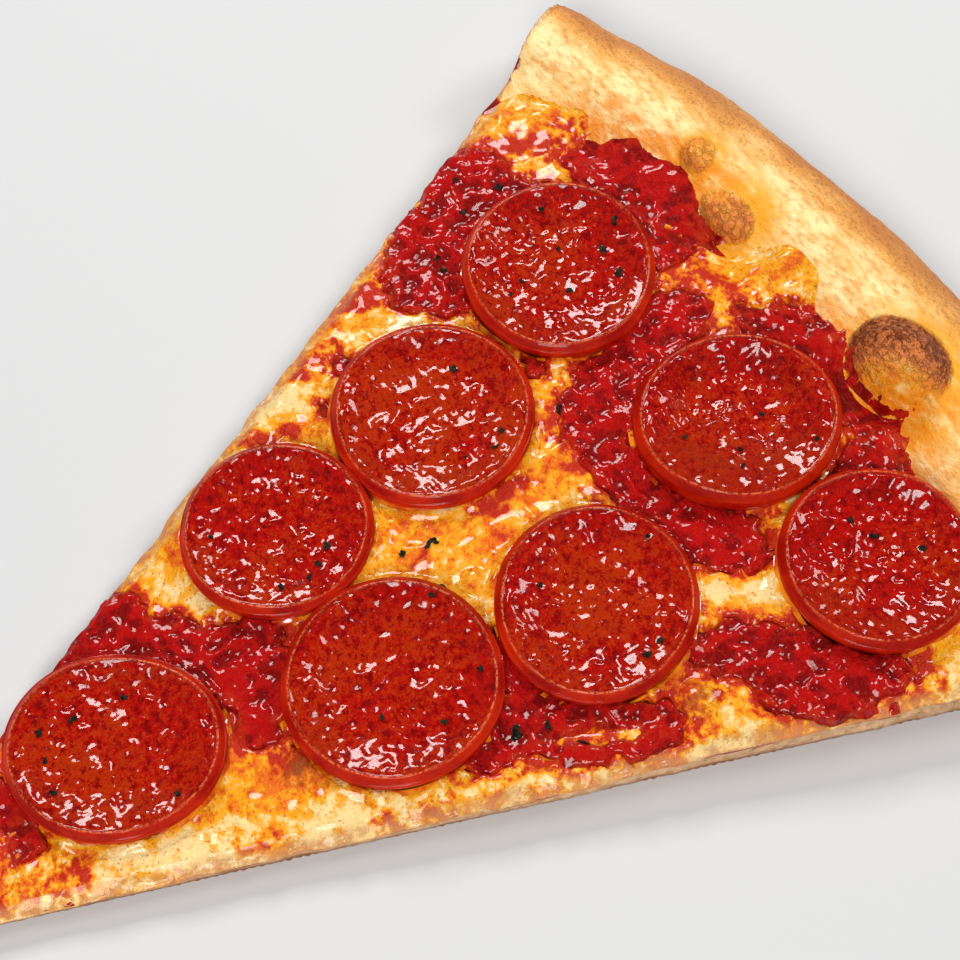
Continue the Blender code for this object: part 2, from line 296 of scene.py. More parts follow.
# Its left corner was pulled up as the knife left it.
ear = smooth(1 - np.hypot(co[:, 0] + 84 * MM, co[:, 1] - TIP.y - 203 * MM) / (17 * MM))
co[:, 2] += 3.4 * MM * ear * smooth((co[:, 2] - 8 * MM) / (9 * MM))

# Blister skin is crackled where it baked hardest.
baked = np.zeros(len(co))
gilded = np.zeros(len(co))
for x, far, z, rx, ry, rz, brown in BLISTERS:
    away = (co - (x * MM, TIP.y + far * MM, z * MM)) / (rx * MM, ry * MM, rz * MM)
    away = np.linalg.norm(away, axis=1)
    on_blister = smooth((1.12 - away) / 0.12)
    crackle = np.abs(lumps(co, 1.7 * MM, 8)) + 0.6 * np.abs(lumps(co, 0.9 * MM, 9))
    co += normal * ((0.25 - 0.50 * crackle) * on_blister * brown * MM)[:, None]
    low_side = (co[:, 0] - x * MM) * 0.5 - (co[:, 1] - TIP.y - far * MM) * 0.9
    low_side = smooth(low_side / (rx * MM) + 0.15)
    baked = np.maximum(baked, on_blister * brown * (1 - 0.92 * low_side * (brown > 0.5)))
    gold_x = co[:, 0] - x * MM - 0.25 * rx * MM
    gold_y = co[:, 1] - TIP.y - far * MM + 0.30 * ry * MM
    ring = np.hypot(gold_x, gold_y)
    gilded = np.maximum(gilded, smooth(1.9 - ring / (rx * MM)) * min(1.0, 0.65 + brown))

# Air cells open in the crumb at the cut sides, larger in the rim.
inside = smooth((co[:, 2] - 1.0 * MM) / (0.8 * MM))
roof = np.where(r < 199 * MM, slab_height(np.minimum(r, 0.2)), 17 * MM)
inside *= smooth((roof - co[:, 2]) / (1.0 * MM))
flat_cells = co * (1, 1, 1.5)
big = smooth((0.52 - pores(flat_cells, 4.6 * MM, 11)) / 0.35)
big *= smooth((r - 150 * MM) / (50 * MM))
small = smooth((0.55 - pores(flat_cells, 1.9 * MM, 12)) / 0.4)
depth = (1.5 * big + 0.65 * small + 0.15 * lumps(co, 1.1 * MM, 13)) * inside * on_cut
wave = wander(co * (1, 1, 0.2), side_way) * smooth((207 * MM - r) / (10 * MM)) - 0.35
co += outward * ((wave * on_cut - depth) * MM)[:, None]
co[:, 2] = np.clip(co[:, 2], 0, dough_high.z - 0.05 * MM)
co[:, 0] = np.clip(co[:, 0], dough_low.x, dough_high.x)
co[:, 1] = np.clip(co[:, 1], dough_low.y, dough_high.y)
place_points(dough, co)

# Only what shows keeps its fine mesh: not the underside, nor what is covered.
hidden = (normal[:, 2] < -0.7) | ((r < 190 * MM) & (normal[:, 2] > 0.5))
group = dough.vertex_groups.new(name="covered")
group.add([int(i) for i in np.nonzero(hidden & (on_cut < 0.1))[0]], 1.0, "REPLACE")
paint(dough, "cut_face", on_cut)
paint(dough, "blistered", baked)
paint(dough, "gilded", gilded * (1 - on_cut))
# The crumb is painted darker in its air cells: painted shade in the pores.
paint(dough, "air_cell_shade", (0.8 * big + 0.5 * small) * on_cut * inside)
apply_modifier(
    dough,
    "DECIMATE",
    ratio=0.56,
    vertex_group="covered",
    vertex_group_factor=10.0,
    use_collapse_triangulate=True,
)
bpy.ops.object.shade_smooth()
ground = BVHTree.FromObject(dough, bpy.context.evaluated_depsgraph_get())


# Random speckle used by every food material, over the piece's own space.
speckle = bpy.data.node_groups.new("speckle", "ShaderNodeTree")
for name, kind in (
    ("Size", "NodeSocketFloat"),
    ("Stretch", "NodeSocketVector"),
    ("Shift", "NodeSocketVector"),
    ("Detail", "NodeSocketFloat"),
    ("Roughness", "NodeSocketFloat"),
):
    speckle.interface.new_socket(name, in_out="INPUT", socket_type=kind)
speckle.interface.new_socket("Value", in_out="OUTPUT", socket_type="NodeSocketFloat")
given = speckle.nodes.new("NodeGroupInput")
put_out = speckle.nodes.new("NodeGroupOutput")
place = speckle.nodes.new("ShaderNodeTexCoord")
stretched = speckle.nodes.new("ShaderNodeVectorMath")
stretched.operation = "MULTIPLY"
fitted = speckle.nodes.new("ShaderNodeVectorMath")
fitted.operation = "SCALE"
per_size = speckle.nodes.new("ShaderNodeMath")
per_size.operation = "DIVIDE"
per_size.inputs[0].default_value = 1.0
shifted = speckle.nodes.new("ShaderNodeVectorMath")
shifted.operation = "ADD"
random = speckle.nodes.new("ShaderNodeTexNoise")
random.inputs["Scale"].default_value = 1.0
for one, two in (
    (place.outputs["Object"], stretched.inputs[0]),
    (given.outputs["Stretch"], stretched.inputs[1]),
    (stretched.outputs["Vector"], fitted.inputs[0]),
    (given.outputs["Size"], per_size.inputs[1]),
    (per_size.outputs["Value"], fitted.inputs["Scale"]),
    (fitted.outputs["Vector"], shifted.inputs[0]),
    (given.outputs["Shift"], shifted.inputs[1]),
    (shifted.outputs["Vector"], random.inputs["Vector"]),
    (given.outputs["Detail"], random.inputs["Detail"]),
    (given.outputs["Roughness"], random.inputs["Roughness"]),
    (random.outputs["Fac"], put_out.inputs["Value"]),
):
    speckle.links.new(one, two)


def new_material(name):
    """A fresh Principled material. The node helpers below work on the one made last."""
    material = bpy.data.materials.new(name)
    material.use_nodes = True
    tree = material.node_tree
    return material, tree, tree.nodes["Principled BSDF"]


def node(kind, **settings):
    made = tree.nodes.new("ShaderNode" + kind)
    for key, value in settings.items():
        setattr(made, key, value)
    return made


def noise(size, detail=3.0, stretch=(1, 1, 1), rough=0.55, seed=0.0):
    """The shared speckle, with features about one size across."""
    made = node("Group")
    made.node_tree = speckle
    made.inputs["Size"].default_value = size
    made.inputs["Stretch"].default_value = stretch
    made.inputs["Shift"].default_value = (seed, seed * 1.7, seed * 0.6)
    made.inputs["Detail"].default_value = detail
    made.inputs["Roughness"].default_value = rough
    return made.outputs["Value"]


def painted(name):
    return node("Attribute", attribute_name=name).outputs["Fac"]


def spread(value, low, high):
    """Stretches low..high of a value to 0..1."""
    made = node("MapRange", interpolation_type="SMOOTHSTEP")
    made.inputs["From Min"].default_value = low
    made.inputs["From Max"].default_value = high
    tree.links.new(value, made.inputs["Value"])
    return made.outputs["Result"]


def maths(operation, one, two=None):
    """Each side is a number or another node's value."""
    made = node("Math", operation=operation)
    for socket, value in zip(made.inputs, (one, two)):
        if isinstance(value, (int, float)):
            socket.default_value = value
        elif value is not None:
            tree.links.new(value, socket)
    return made.outputs["Value"]


def times(one, two):
    return maths("MULTIPLY", one, two)


def plus(one, two):
    return maths("ADD", one, two)


def less(one, two):
    return maths("SUBTRACT", one, two)


def blend_color(share, one, two, way="MIX"):
    made = node("Mix", data_type="RGBA", blend_type=way)
    for socket, value in zip((made.inputs[0], made.inputs[6], made.inputs[7]), (share, one, two)):
        if isinstance(value, (int, float)):
            socket.default_value = value
        elif isinstance(value, tuple):
            socket.default_value = (*value, 1.0)
        else:
            tree.links.new(value, socket)
    return made.outputs[2]


def bumpy(height, distance, strength=1.0):
    made = node("Bump")
    made.inputs["Distance"].default_value = distance
    made.inputs["Strength"].default_value = strength
    tree.links.new(height, made.inputs["Height"])
    tree.links.new(made.outputs["Normal"], shader.inputs["Normal"])


def dress(piece, *materials):
    piece.data.materials.clear()
    for finish in materials:
        piece.data.materials.append(finish)


def height_share(low, high):
    """0 at the low height of the piece, 1 at the high one."""
    place = node("TexCoord")
    apart = node("SeparateXYZ")
    tree.links.new(place.outputs["Object"], apart.inputs["Vector"])
    return spread(apart.outputs["Z"], low, high)


def tip_distance():
    place = node("TexCoord")
    shift = node("VectorMath", operation="MULTIPLY_ADD")
    shift.inputs[1].default_value = (1, 1, 0)
    shift.inputs[2].default_value = -TIP
    tree.links.new(place.outputs["Object"], shift.inputs[0])
    length = node("VectorMath", operation="LENGTH")
    tree.links.new(shift.outputs["Vector"], length.inputs[0])
    return length.outputs["Value"]


CREAM_CRUST = (0.98, 0.78, 0.36)
GOLD_CRUST = (0.92, 0.40, 0.060)
TAN_CRUST = (0.64, 0.22, 0.040)
BROWN_CRUST = (0.30, 0.105, 0.030)
SAUCY_CRUST = (0.86, 0.25, 0.006)
GOLD_BLISTER = (0.92, 0.38, 0.008)
TAN_BLISTER = (0.66, 0.18, 0.040)
DARK_BLISTER = (0.26, 0.045, 0.008)
CRUMB = (0.76, 0.47, 0.25)

material, tree, shader = new_material("baked_crust")
mottle = noise(8 * MM, 5, (0.55, 1.2, 1), 0.62, 2.0)
spots = noise(3.2 * MM, 4, (0.6, 1.2, 1), 0.62, 6.0)
streaks = noise(1.3 * MM, 4, (0.6, 1.3, 1), 0.6, 5.0)
radius_out = tip_distance()
uneven = times(less(mottle, 0.5), 0.9)
outer = plus(spread(radius_out, 206 * MM, 226 * MM), uneven)
golden = plus(times(mottle, 0.45), times(spots, 0.30))
golden = plus(golden, times(streaks, 0.25))
golden = times(spread(golden, 0.44, 0.60), 0.72)
color = blend_color(golden, CREAM_CRUST, GOLD_CRUST)
foot = less(1.0, spread(radius_out, 199 * MM, 207 * MM))
foot = times(foot, spread(spots, 0.40, 0.60))
color = blend_color(times(foot, 0.8), color, GOLD_CRUST)
color = blend_color(times(spread(outer, 0.30, 0.80), 0.85), color, GOLD_CRUST)
color = blend_color(spread(outer, 0.60, 1.10), color, TAN_CRUST)
fleck = times(spread(streaks, 0.50, 0.66), 0.42)
color = blend_color(fleck, color, TAN_CRUST)
speck = noise(0.7 * MM, 3, (1, 1, 1), 0.6, 8.0)
speck = times(spread(speck, 0.50, 0.66), spread(outer, 0.3, 1.0))
color = blend_color(times(speck, 0.65), color, BROWN_CRUST)
under = less(1.0, height_share(0.3 * MM, 4.5 * MM))
color = blend_color(times(under, 0.9), color, BROWN_CRUST)
gilded = times(painted("gilded"), spread(spots, 0.20, 0.50))
color = blend_color(times(gilded, 0.95), color, GOLD_BLISTER)
soaked = times(painted("soaked"), spread(spots, 0.28, 0.60))
color = blend_color(times(soaked, 0.9), color, SAUCY_CRUST)
blistered = painted("blistered")
crackled = noise(2.0 * MM, 3, (1, 1, 1), 0.6, 9.0)
ridge = spread(maths("ABSOLUTE", less(crackled, 0.5)), 0.0, 0.06)
scorch = plus(blistered, times(less(spots, 0.5), 0.9))
color = blend_color(spread(scorch, 0.12, 0.62), color, TAN_BLISTER)
facets = noise(1.1 * MM, 2, (1, 1, 1), 0.5, 14.0)
cracks = plus(scorch, times(ridge, -0.22))
cracks = plus(cracks, times(less(facets, 0.5), 1.2))
color = blend_color(spread(cracks, 0.45, 1.15), color, DARK_BLISTER)
cut_face = painted("cut_face")
crumb_spots = noise(2.2 * MM, 4, (1, 1, 1.4), 0.6, 3.0)
crumb = blend_color(spread(crumb_spots, 0.35, 0.75), CRUMB, (0.54, 0.30, 0.14))
# Painted shade: the crumb is darker down in its air cells.
crumb = blend_color(painted("air_cell_shade"), crumb, (0.42, 0.22, 0.11))
toasted = less(1.0, height_share(0.2 * MM, 1.9 * MM))
crumb = blend_color(times(toasted, 0.92), crumb, BROWN_CRUST)
color = blend_color(spread(cut_face, 0.25, 0.8), color, crumb)
tree.links.new(color, shader.inputs["Base Color"])
shader.inputs["Roughness"].default_value = 0.50
shader.inputs["Specular IOR Level"].default_value = 0.30
grain = plus(streaks, noise(0.6 * MM, 3, (1, 1, 1), 0.6, 1.0))
grain = times(grain, plus(0.30, times(outer, 0.5)))
grain = plus(grain, times(mottle, 1.2))
blister_skin = plus(ridge, times(facets, 2.0))
grain = plus(grain, times(times(blister_skin, blistered), 1.3))
bumpy(grain, 0.75 * MM, 0.95)
dress(dough, material)
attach(dough, "root")
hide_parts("dough")

# --------------------------------------------------------------- pepperoni plan
# Eight slices of pepperoni lie on the cheese: cured pork and beef cut from a
# stick 4 cm across. Baked, each one shrinks and curls into a shallow cup. Their
# places come first, because cheese and sauce part around them.
# wall height, dish depth, how far the rim slants, toward which side (degrees),
# where the dish is deepest (share of the radius, degrees), warmth of its red
CUPS = (
    (4.9, 2.3, 0.7, 145, 0.22, 135, 0.45),
    (4.6, 1.8, 0.3, 120, 0.10, 200, 0.66),
    (4.5, 1.5, 0.2, 150, 0.12, 160, 0.35),
    (5.4, 3.6, 0.3, 60, 0.36, 140, 0.40),
    (4.7, 1.9, 0.7, 130, 0.10, 100, 0.55),
    (4.7, 1.9, 0.4, 140, 0.12, 60, 0.50),
    (5.0, 2.4, 0.5, 120, 0.20, 110, 0.30),
    (4.1, 1.8, 0.4, -60, 0.14, 150, 0.60),
)
# How much longer and how much wider than round each one shrank
OVALS = (
    (1.00, 1.03),
    (1.04, 1.03),
    (1.05, 1.01),
    (1.05, 0.97),
    (1.01, 1.05),
    (1.04, 1.04),
    (1.01, 1.03),
    (1.06, 0.91),
)
OVAL_TURN = math.radians(54.7)
cups = []
for number, cup in enumerate(CUPS, start=1):
    low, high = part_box(f"pepperoni_{number}")
    middle = (low + high) / 2
    if number == 8:
        middle += Vector((-1.3, -0.4, 0)) * MM
    cups.append((number, middle.x, middle.y, (high.x - low.x) / 2, *cup))


def around_cups(x, y):
    """Distance outside the nearest pepperoni's wall; negative under it."""
    gap = np.full(len(x), 1.0)
    c, s = math.cos(OVAL_TURN), math.sin(OVAL_TURN)
    for number, cx, cy, size, *_ in cups:
        long, wide = OVALS[number - 1]
        along = ((x - cx) * c + (y - cy) * s) / long
        across = ((y - cy) * c - (x - cx) * s) / wide
        gap = np.minimum(gap, np.hypot(along, across) - size)
    return gap


# ------------------------------------------------- where the sauce shows through
# The cheese was scattered by hand, so red sauce is bare in ragged patches.
# x, distance from the tip, half length, half width in mm, turn in degrees
SAUCE_SHOWS = (
    (-61.0, 166.5, 10.5, 8.5, 105),
    (-55.0, 155.0, 12.0, 8.5, 115),
    (-46.5, 147.5, 9.0, 5.2, 41),
    (-54.0, 173.0, 8.0, 5.0, 60),
    (-43.0, 194.0, 15.0, 7.4, 18),
    (-28.5, 192.0, 7.0, 5.5, -50),
    (-13.5, 175.0, 13.0, 7.2, 95),
    (-8.0, 160.0, 11.0, 7.0, 122),
    (8.0, 153.6, 13.0, 5.6, 5),
    (24.0, 158.0, 11.5, 7.0, 45),
    (3.0, 195.0, 12.0, 6.0, 18),
    (19.5, 197.0, 10.0, 5.0, -16),
    (30.5, 188.0, 10.0, 4.8, 100),
    (55.0, 157.5, 15.0, 8.4, 56),
    (46.0, 149.5, 9.5, 6.5, 35),
    (32.5, 109.0, 11.0, 6.5, 75),
    (39.0, 118.5, 11.0, 6.8, 60),
    (45.5, 126.5, 8.5, 5.0, 60),
    (27.0, 116.0, 6.0, 3.6, 0),
    (-20.5, 64.5, 9.5, 7.4, 25),
    (-12.0, 71.0, 10.5, 6.4, 35),
    (-4.5, 79.5, 10.0, 7.4, 50),
    (4.0, 81.0, 9.0, 6.6, 60),
    (8.5, 76.5, 5.0, 3.2, 40),
    (-21.0, 51.0, 8.5, 3.2, 112),
    (-4.5, 34.2, 8.5, 3.6, 5),
    (-42.4, 124.6, 2.0, 1.6, 0),
    (-21.8, 153.6, 2.2, 1.8, 0),
    (-36.8, 118.0, 1.6, 1.3, 0),
)
# Scraps of cheese lying over those patches, given the same way
CHEESE_SCRAPS = (
    (50.0, 144.0, 2.8, 1.5, 30),
    (42.5, 121.0, 5.0, 1.3, 60),
)
# Cheese that sauce has smeared or soaked, given the same way
SMEARS = (
    (-62.5, 182.0, 9.0, 4.5, 55),
    (-20.5, 189.5, 8.0, 5.0, -35),
    (-8.0, 187.0, 5.0, 4.0, 0),
    (-30.0, 151.5, 7.0, 2.5, 10),
    (-53.0, 135.0, 8.0, 3.0, 66),
    (-46.0, 121.0, 8.0, 3.0, 66),
    (-38.0, 104.0, 9.0, 2.6, 66),
    (11.0, 77.5, 3.0, 1.8, 60),
    (37.0, 95.0, 8.0, 3.0, 66),
    (11.5, 36.5, 5.0, 3.0, 65),
    (5.0, 24.0, 10.0, 5.0, 68),
    (-2.0, 22.0, 9.0, 3.0, 95),
    (9.0, 36.0, 7.5, 4.2, 60),
    (8.0, 29.5, 8.0, 3.4, 65),
    (24.0, 64.0, 5.0, 2.0, 66),
    (33.0, 84.0, 6.0, 2.2, 66),
    (0.0, 12.0, 7.0, 2.4, 90),
    (60.0, 149.0, 6.0, 2.6, 66),
    (-3.0, 131.0, 6.0, 2.2, 80),
    (44.5, 108.0, 5.0, 2.0, 66),
)


def inside_patches(patches, x, y):
    """How deep, in metres, a point lies inside the nearest ragged patch."""
    deepest = np.full(len(x), -1.0)
    far = y - TIP.y
    for px, pfar, length, width, turn in patches:
        c, s = math.cos(math.radians(turn)), math.sin(math.radians(turn))
        along = (x - px * MM) * c + (far - pfar * MM) * s
        across = (far - pfar * MM) * c - (x - px * MM) * s
        ratio = np.hypot(along / length, across / width) / MM
        deepest = np.maximum(deepest, (1 - ratio) * min(length, width) * MM)
    return deepest


def sauce_bare(x, y):
    """Positive where bare sauce shows, in metres from the patch's edge."""
    flat = np.stack([x, y, 0 * x], 1)
    ragged = 1.5 * lumps(flat, 5.2 * MM, 21) + 1.0 * lumps(flat, 2.3 * MM, 22)
    ragged += 0.5 * lumps(flat, 1.1 * MM, 23)
    bare = inside_patches(SAUCE_SHOWS, x, y) + (ragged + 0.5) * MM
    covered = inside_patches(CHEESE_SCRAPS, x, y) + 0.4 * ragged * MM
    return np.minimum(bare, -covered)


# The crust next to a patch has soaked up its oil.
on_dough = points_of(dough)
near_patch = sauce_bare(on_dough[:, 0], on_dough[:, 1])
near_patch = smooth(1.1 + near_patch / (6.5 * MM) + 0.3 * lumps(on_dough, 3 * MM, 24))
paint(dough, "soaked", near_patch * (on_dough[:, 2] > 5 * MM))


def off_blisters(x, y):
    """Distance outside the nearest blister of the crust; negative on it."""
    away = np.full(len(x), 1.0)
    for bx, bfar, _, rx, ry, _, _ in BLISTERS:
        ratio = np.hypot((x - bx * MM) / rx, (y - TIP.y - bfar * MM) / ry) / MM
        away = np.minimum(away, (ratio - 1.10) * min(rx, ry) * MM)
    return away


CHEESE_END = 201.5 * MM


def cut_distance(x, y):
    """Distance in from the nearer cut side."""
    flat = np.stack([x, y - TIP.y], 1)
    right = flat @ np.array((CUT_NORMAL.x, CUT_NORMAL.y))
    left = flat @ np.array((-CUT_NORMAL.x, CUT_NORMAL.y))
    return -np.maximum(right, left), np.where(right > left, 1.0, -1.0)


def cheese_edge(flat):
    """How far from the tip the ragged cheese reaches up the crust."""
    ragged = 3.6 * lumps(flat, 11 * MM, 35) + 1.3 * lumps(flat, 3.4 * MM, 36)
    edge = CHEESE_END + ragged * MM
    for bx, bfar, size in ((-6, 203, 9), (-24, 203, 7), (-62, 190, 7), (62, 190, 6)):
        away = np.hypot(flat[:, 0] - bx * MM, flat[:, 1] - TIP.y - bfar * MM)
        edge += 5.0 * MM * smooth(1.5 - away / (size * MM))
    return edge


# Heights are felt for from this height downward.
ABOVE_FOOD = 0.04
DOWN = Vector((0, 0, -1))


def ground_height(x, y, radius_from):
    """Top of the dough, read from its mesh beyond one distance from the tip."""
    r = from_tip(x, y)
    height = slab_height(np.minimum(r, RIM_FOOT_RADIUS))
    inset, side = cut_distance(x, y)
    inward = side * np.maximum(2.2 * MM - inset, 0)
    over_x, over_y = x - inward * CUT_NORMAL.x, y - np.abs(inward) * CUT_NORMAL.y
    for i in np.nonzero(r > radius_from)[0]:
        hit = ground.ray_cast(Vector((over_x[i], over_y[i], ABOVE_FOOD)), DOWN)[0]
        height[i] = hit.z if hit else 0.0
    return height


# ------------------------------------------------------------------ melted cheese
# Shredded mozzarella melted to one skin: pale where it is thick, orange where
# the pepperoni's fat ran over it, toasted on its small blisters. It lies on the
# sauce, sags over the cut sides and runs out ragged on the crust.
SHEET_CELL = 1.38 * MM
SHEET_CUTS = 3
# x, distance from the tip, radius, height, how brown
CHEESE_BLISTERS = (
    (47.2, 137.6, 3.6, 0.7, 0.75),
    (18.2, 77.2, 3.2, 0.6, 0.95),
    (-2.0, 199.5, 2.2, 0.3, 0.7),
    (2.0, 198.5, 6.5, 0.6, 0.15),
    (-24.0, 84.0, 2.2, 0.3, 0.35),
    (7.0, 120.0, 2.0, 0.3, 0.35),
)
# Creamy, less oily places: x, distance from the tip, half length, half width, turn
PALE_CHEESE = (
    (-45.0, 143.0, 8.0, 4.0, 60),
    (-42.0, 110.0, 12.0, 4.5, 66),
    (-22.0, 77.0, 9.0, 4.0, 40),
    (9.0, 34.0, 7.0, 4.5, 60),
    (35.6, 149.0, 6.5, 4.0, 10),
    (38.5, 160.0, 4.0, 3.0, 0),
    (22.0, 60.0, 22.0, 5.0, 66),
    (31.0, 80.0, 18.0, 4.0, 66),
    (46.0, 112.0, 14.0, 3.4, 66),
    (58.0, 138.0, 10.0, 3.6, 66),
    (-16.0, 155.0, 5.0, 4.0, 30),
    (-8.0, 196.0, 8.0, 3.5, 80),
    (-40.0, 150.0, 5.0, 3.0, 10),
    (4.0, 20.0, 10.0, 4.0, 80),
)
# Orange oily places, given the same way
OILY_CHEESE = (
    (1.0, 130.0, 20.0, 6.0, 95),
    (-50.0, 133.0, 9.0, 4.0, 66),
    (-26.0, 81.0, 6.0, 4.0, 20),
    (-5.0, 114.0, 10.0, 4.0, 20),
    (19.0, 75.0, 9.0, 5.0, 60),
    (42.0, 138.0, 9.0, 5.0, 60),
    (20.0, 48.0, 8.0, 4.0, 70),
    (-38.0, 114.0, 8.0, 3.0, 66),
    (-64.0, 184.0, 9.0, 5.0, 30),
    (-10.0, 198.0, 9.0, 6.0, 60),
    (60.0, 146.0, 6.0, 4.0, 60),
)


def add_sheet(name, reach):
    """A flat closed wedge of even squares; its top is at 0, its bottom at -1."""
    deselect()
    wide, long = 2 * reach * math.sin(HALF_ANGLE), reach
    bpy.ops.mesh.primitive_grid_add(
        x_subdivisions=round(wide / SHEET_CELL),
        y_subdivisions=round(long / SHEET_CELL),
        size=1,
        location=(0, TIP.y + long / 2, 0),
    )
    bpy.context.object.scale = (wide, long, 1)
    piece = new_piece(name)
    take(piece)
    bpy.ops.object.mode_set(mode="EDIT")
    for side in (-1, 1):
        bpy.ops.mesh.select_all(action="SELECT")
        bpy.ops.mesh.bisect(
            plane_co=TIP,
            plane_no=(side * CUT_NORMAL.x, CUT_NORMAL.y, 0),
            clear_outer=True,
        )
    pick(piece, "verts", lambda v: (v.co - TIP).length > reach)
    bpy.ops.mesh.delete(type="VERT")
    bpy.ops.mesh.select_all(action="SELECT")
    bpy.ops.mesh.remove_doubles(threshold=0.05 * MM)
    bpy.ops.mesh.extrude_region_move(TRANSFORM_OT_translate={"value": (0, 0, -MM)})
    bpy.ops.mesh.select_all(action="SELECT")
    bpy.ops.mesh.normals_make_consistent(inside=False)
    return piece


def refine(piece, shows):
    """Subdivides the top faces that show, and the two cut sides."""
    def wanted(face):
        middle = face.calc_center_median()
        if abs(face.normal.z) < 0.5:
            return from_tip(middle.x, middle.y) < RIM_FOOT_RADIUS
        return face.normal.z > 0.5 and shows(middle)
    pick(piece, "faces", wanted)
    bpy.ops.mesh.subdivide(number_cuts=SHEET_CUTS)
    bpy.ops.object.mode_set(mode="OBJECT")


cheese = add_sheet("melted_cheese", 211 * MM)


def cheese_shows(middle):
    x, y = np.array([middle.x]), np.array([middle.y])
    near_edge = inside_patches(SAUCE_SHOWS, x, y)[0] < 2.6 * MM
    return around_cups(x, y)[0] > -1.4 * MM and near_edge


refine(cheese, cheese_shows)
co = points_of(cheese)
x, y = co[:, 0], co[:, 1]
flat = np.stack([x, y, 0 * x], 1)
share_down = np.clip(-co[:, 2] / MM, 0, 1)
r = from_tip(x, y)
land = ground_height(x, y, 188 * MM)
bare = sauce_bare(x, y)
gap = around_cups(x, y)
inset, side = cut_distance(x, y)

depth = cheese_depth(r)
bent = flat + 2.2 * MM * lumps(flat, 7 * MM, 34)[:, None]
swell = 0.42 * lumps(flat, 9 * MM, 31) + 0.26 * lumps(flat, 3.6 * MM, 32)
swell += 0.34 * (1 - 2 * np.abs(lumps(bent, 5.5 * MM, 30))) + 0.10 * lumps(flat, 1.6 * MM, 33)
top = topping_height(x, y) + swell * smooth(r / (40 * MM)) * MM
toasted = np.zeros(len(x))
for bx, bfar, size, rise, brown in CHEESE_BLISTERS:
    away = np.hypot(x - bx * MM, y - TIP.y - bfar * MM) / (size * MM)
    bump = smooth(1.25 - away)
    top += rise * MM * bump
    toasted = np.maximum(toasted, brown * bump)
# It climbs a little on the pepperoni walls, and sinks under them.
under_cheese = 1 - smooth((bare + 1.6 * MM) / (2.0 * MM))
top += 0.8 * MM * smooth(1 - np.abs(gap) / (2.0 * MM)) * under_cheese
top -= 2.0 * MM * smooth((-gap - 0.6 * MM) / (1.2 * MM)) * smooth(r / (70 * MM))
top -= 0.6 * MM * smooth((-gap - 0.6 * MM) / (1.2 * MM)) * (1 - smooth(r / (70 * MM)))
# It thins out to nothing where the sauce is bare.
top -= (depth * 0.82) * smooth((bare + 0.6 * MM) / (2.2 * MM))
# On the crust it runs out in a ragged edge.
edge = cheese_edge(flat)
fringe = np.minimum((edge - r) / (8 * MM), (off_blisters(x, y) - 1.5 * MM) / (2.5 * MM))
film = (depth + sauce_depth(r)) * smooth(fringe) + 0.7 * swell * MM * smooth(fringe)
film -= 1.2 * MM * smooth(-fringe * 2.5)
film -= (depth * 0.82) * smooth((bare + 0.6 * MM) / (2.2 * MM))
on_crust = smooth((r - 190 * MM) / (7 * MM))
top = top * (1 - on_crust) + (land + film) * on_crust
bottom = np.minimum(land + sauce_depth(r) * smooth((200 * MM - r) / (8 * MM)), top - 0.25 * MM)
# The cut edge is rounded over and sags down the side.
rounding = smooth(1 - inset / (4.2 * MM))
top -= rounding**2 * 0.85 * depth
sag = 0.55 + 0.45 * lumps(flat, 8 * MM, 37)
bottom -= smooth(1 - inset / (0.6 * MM)) * sag * sauce_depth(r) * 0.9
co[:, 2] = top * (1 - share_down) + bottom * share_down
bulge = np.sin(math.pi * np.clip(share_down * 0.85 + 0.1, 0, 1))
push = (0.05 + 0.45 * bulge * (0.5 + 0.5 * sag)) * smooth(1 - inset / (0.3 * MM))
push += wander(flat, side) * smooth(1 - inset / (3 * MM))
push *= smooth((206 * MM - r) / (8 * MM)) * smooth(r / (9 * MM))
co[:, 0] += side * CUT_NORMAL.x * push * MM
co[:, 1] += CUT_NORMAL.y * push * MM
co[:, 2] = np.maximum(co[:, 2], 1.2 * MM)
place_points(cheese, co)
pale = inside_patches(PALE_CHEESE, x, y) + 1.6 * MM * lumps(flat, 3 * MM, 38)
pale = smooth(pale / (3.0 * MM) + 0.3)
oily = inside_patches(OILY_CHEESE, x, y) + 1.6 * MM * lumps(flat, 3 * MM, 39)
oily = smooth(oily / (3.0 * MM) + 0.3)
oily = np.maximum(oily, 0.8 * smooth(1 - gap / (3.0 * MM)) * smooth(0.6 + lumps(flat, 6 * MM, 40)))
paint(cheese, "toasted", toasted)
paint(cheese, "oily", oily)
soaked = smooth(1 + bare / (3.0 * MM) + 0.35 * lumps(flat, 2 * MM, 41))
smeared = inside_patches(SMEARS, x, y) + 2.2 * MM * lumps(flat, 3.4 * MM, 42)
soaked = np.maximum(soaked, 0.85 * smooth(smeared / (3.0 * MM) + 0.3))
right_edge = 0.70 * smooth(1.15 - inset / (6 * MM) + 0.5 * lumps(flat, 5 * MM, 43)) * (side > 0)
pale = np.maximum(pale, right_edge)
paint(cheese, "pale", pale)
paint(cheese, "hollow", 0.5 - 0.6 * swell)
# Painted shade: the cheese darkens to tan where its edge rounds down at the cut.
paint(cheese, "shaded_cut_edge", smooth(1.1 - inset / (2.4 * MM) + 0.3 * lumps(flat, 2.5 * MM, 44)))
paint(cheese, "stained", soaked)
paint(cheese, "cut_face", smooth(1.2 - inset / (5 * MM)))
take(cheese)
bpy.ops.object.shade_smooth()

CREAM_CHEESE = (0.97, 0.68, 0.28)
YELLOW_CHEESE = (0.92, 0.38, 0.004)
ORANGE_OIL = (0.80, 0.15, 0.001)
SAUCE_STAIN = (0.52, 0.018, 0.002)
TOASTED_CHEESE = (0.34, 0.070, 0.006)
SHADED_CUT_EDGE = (0.56, 0.24, 0.085)

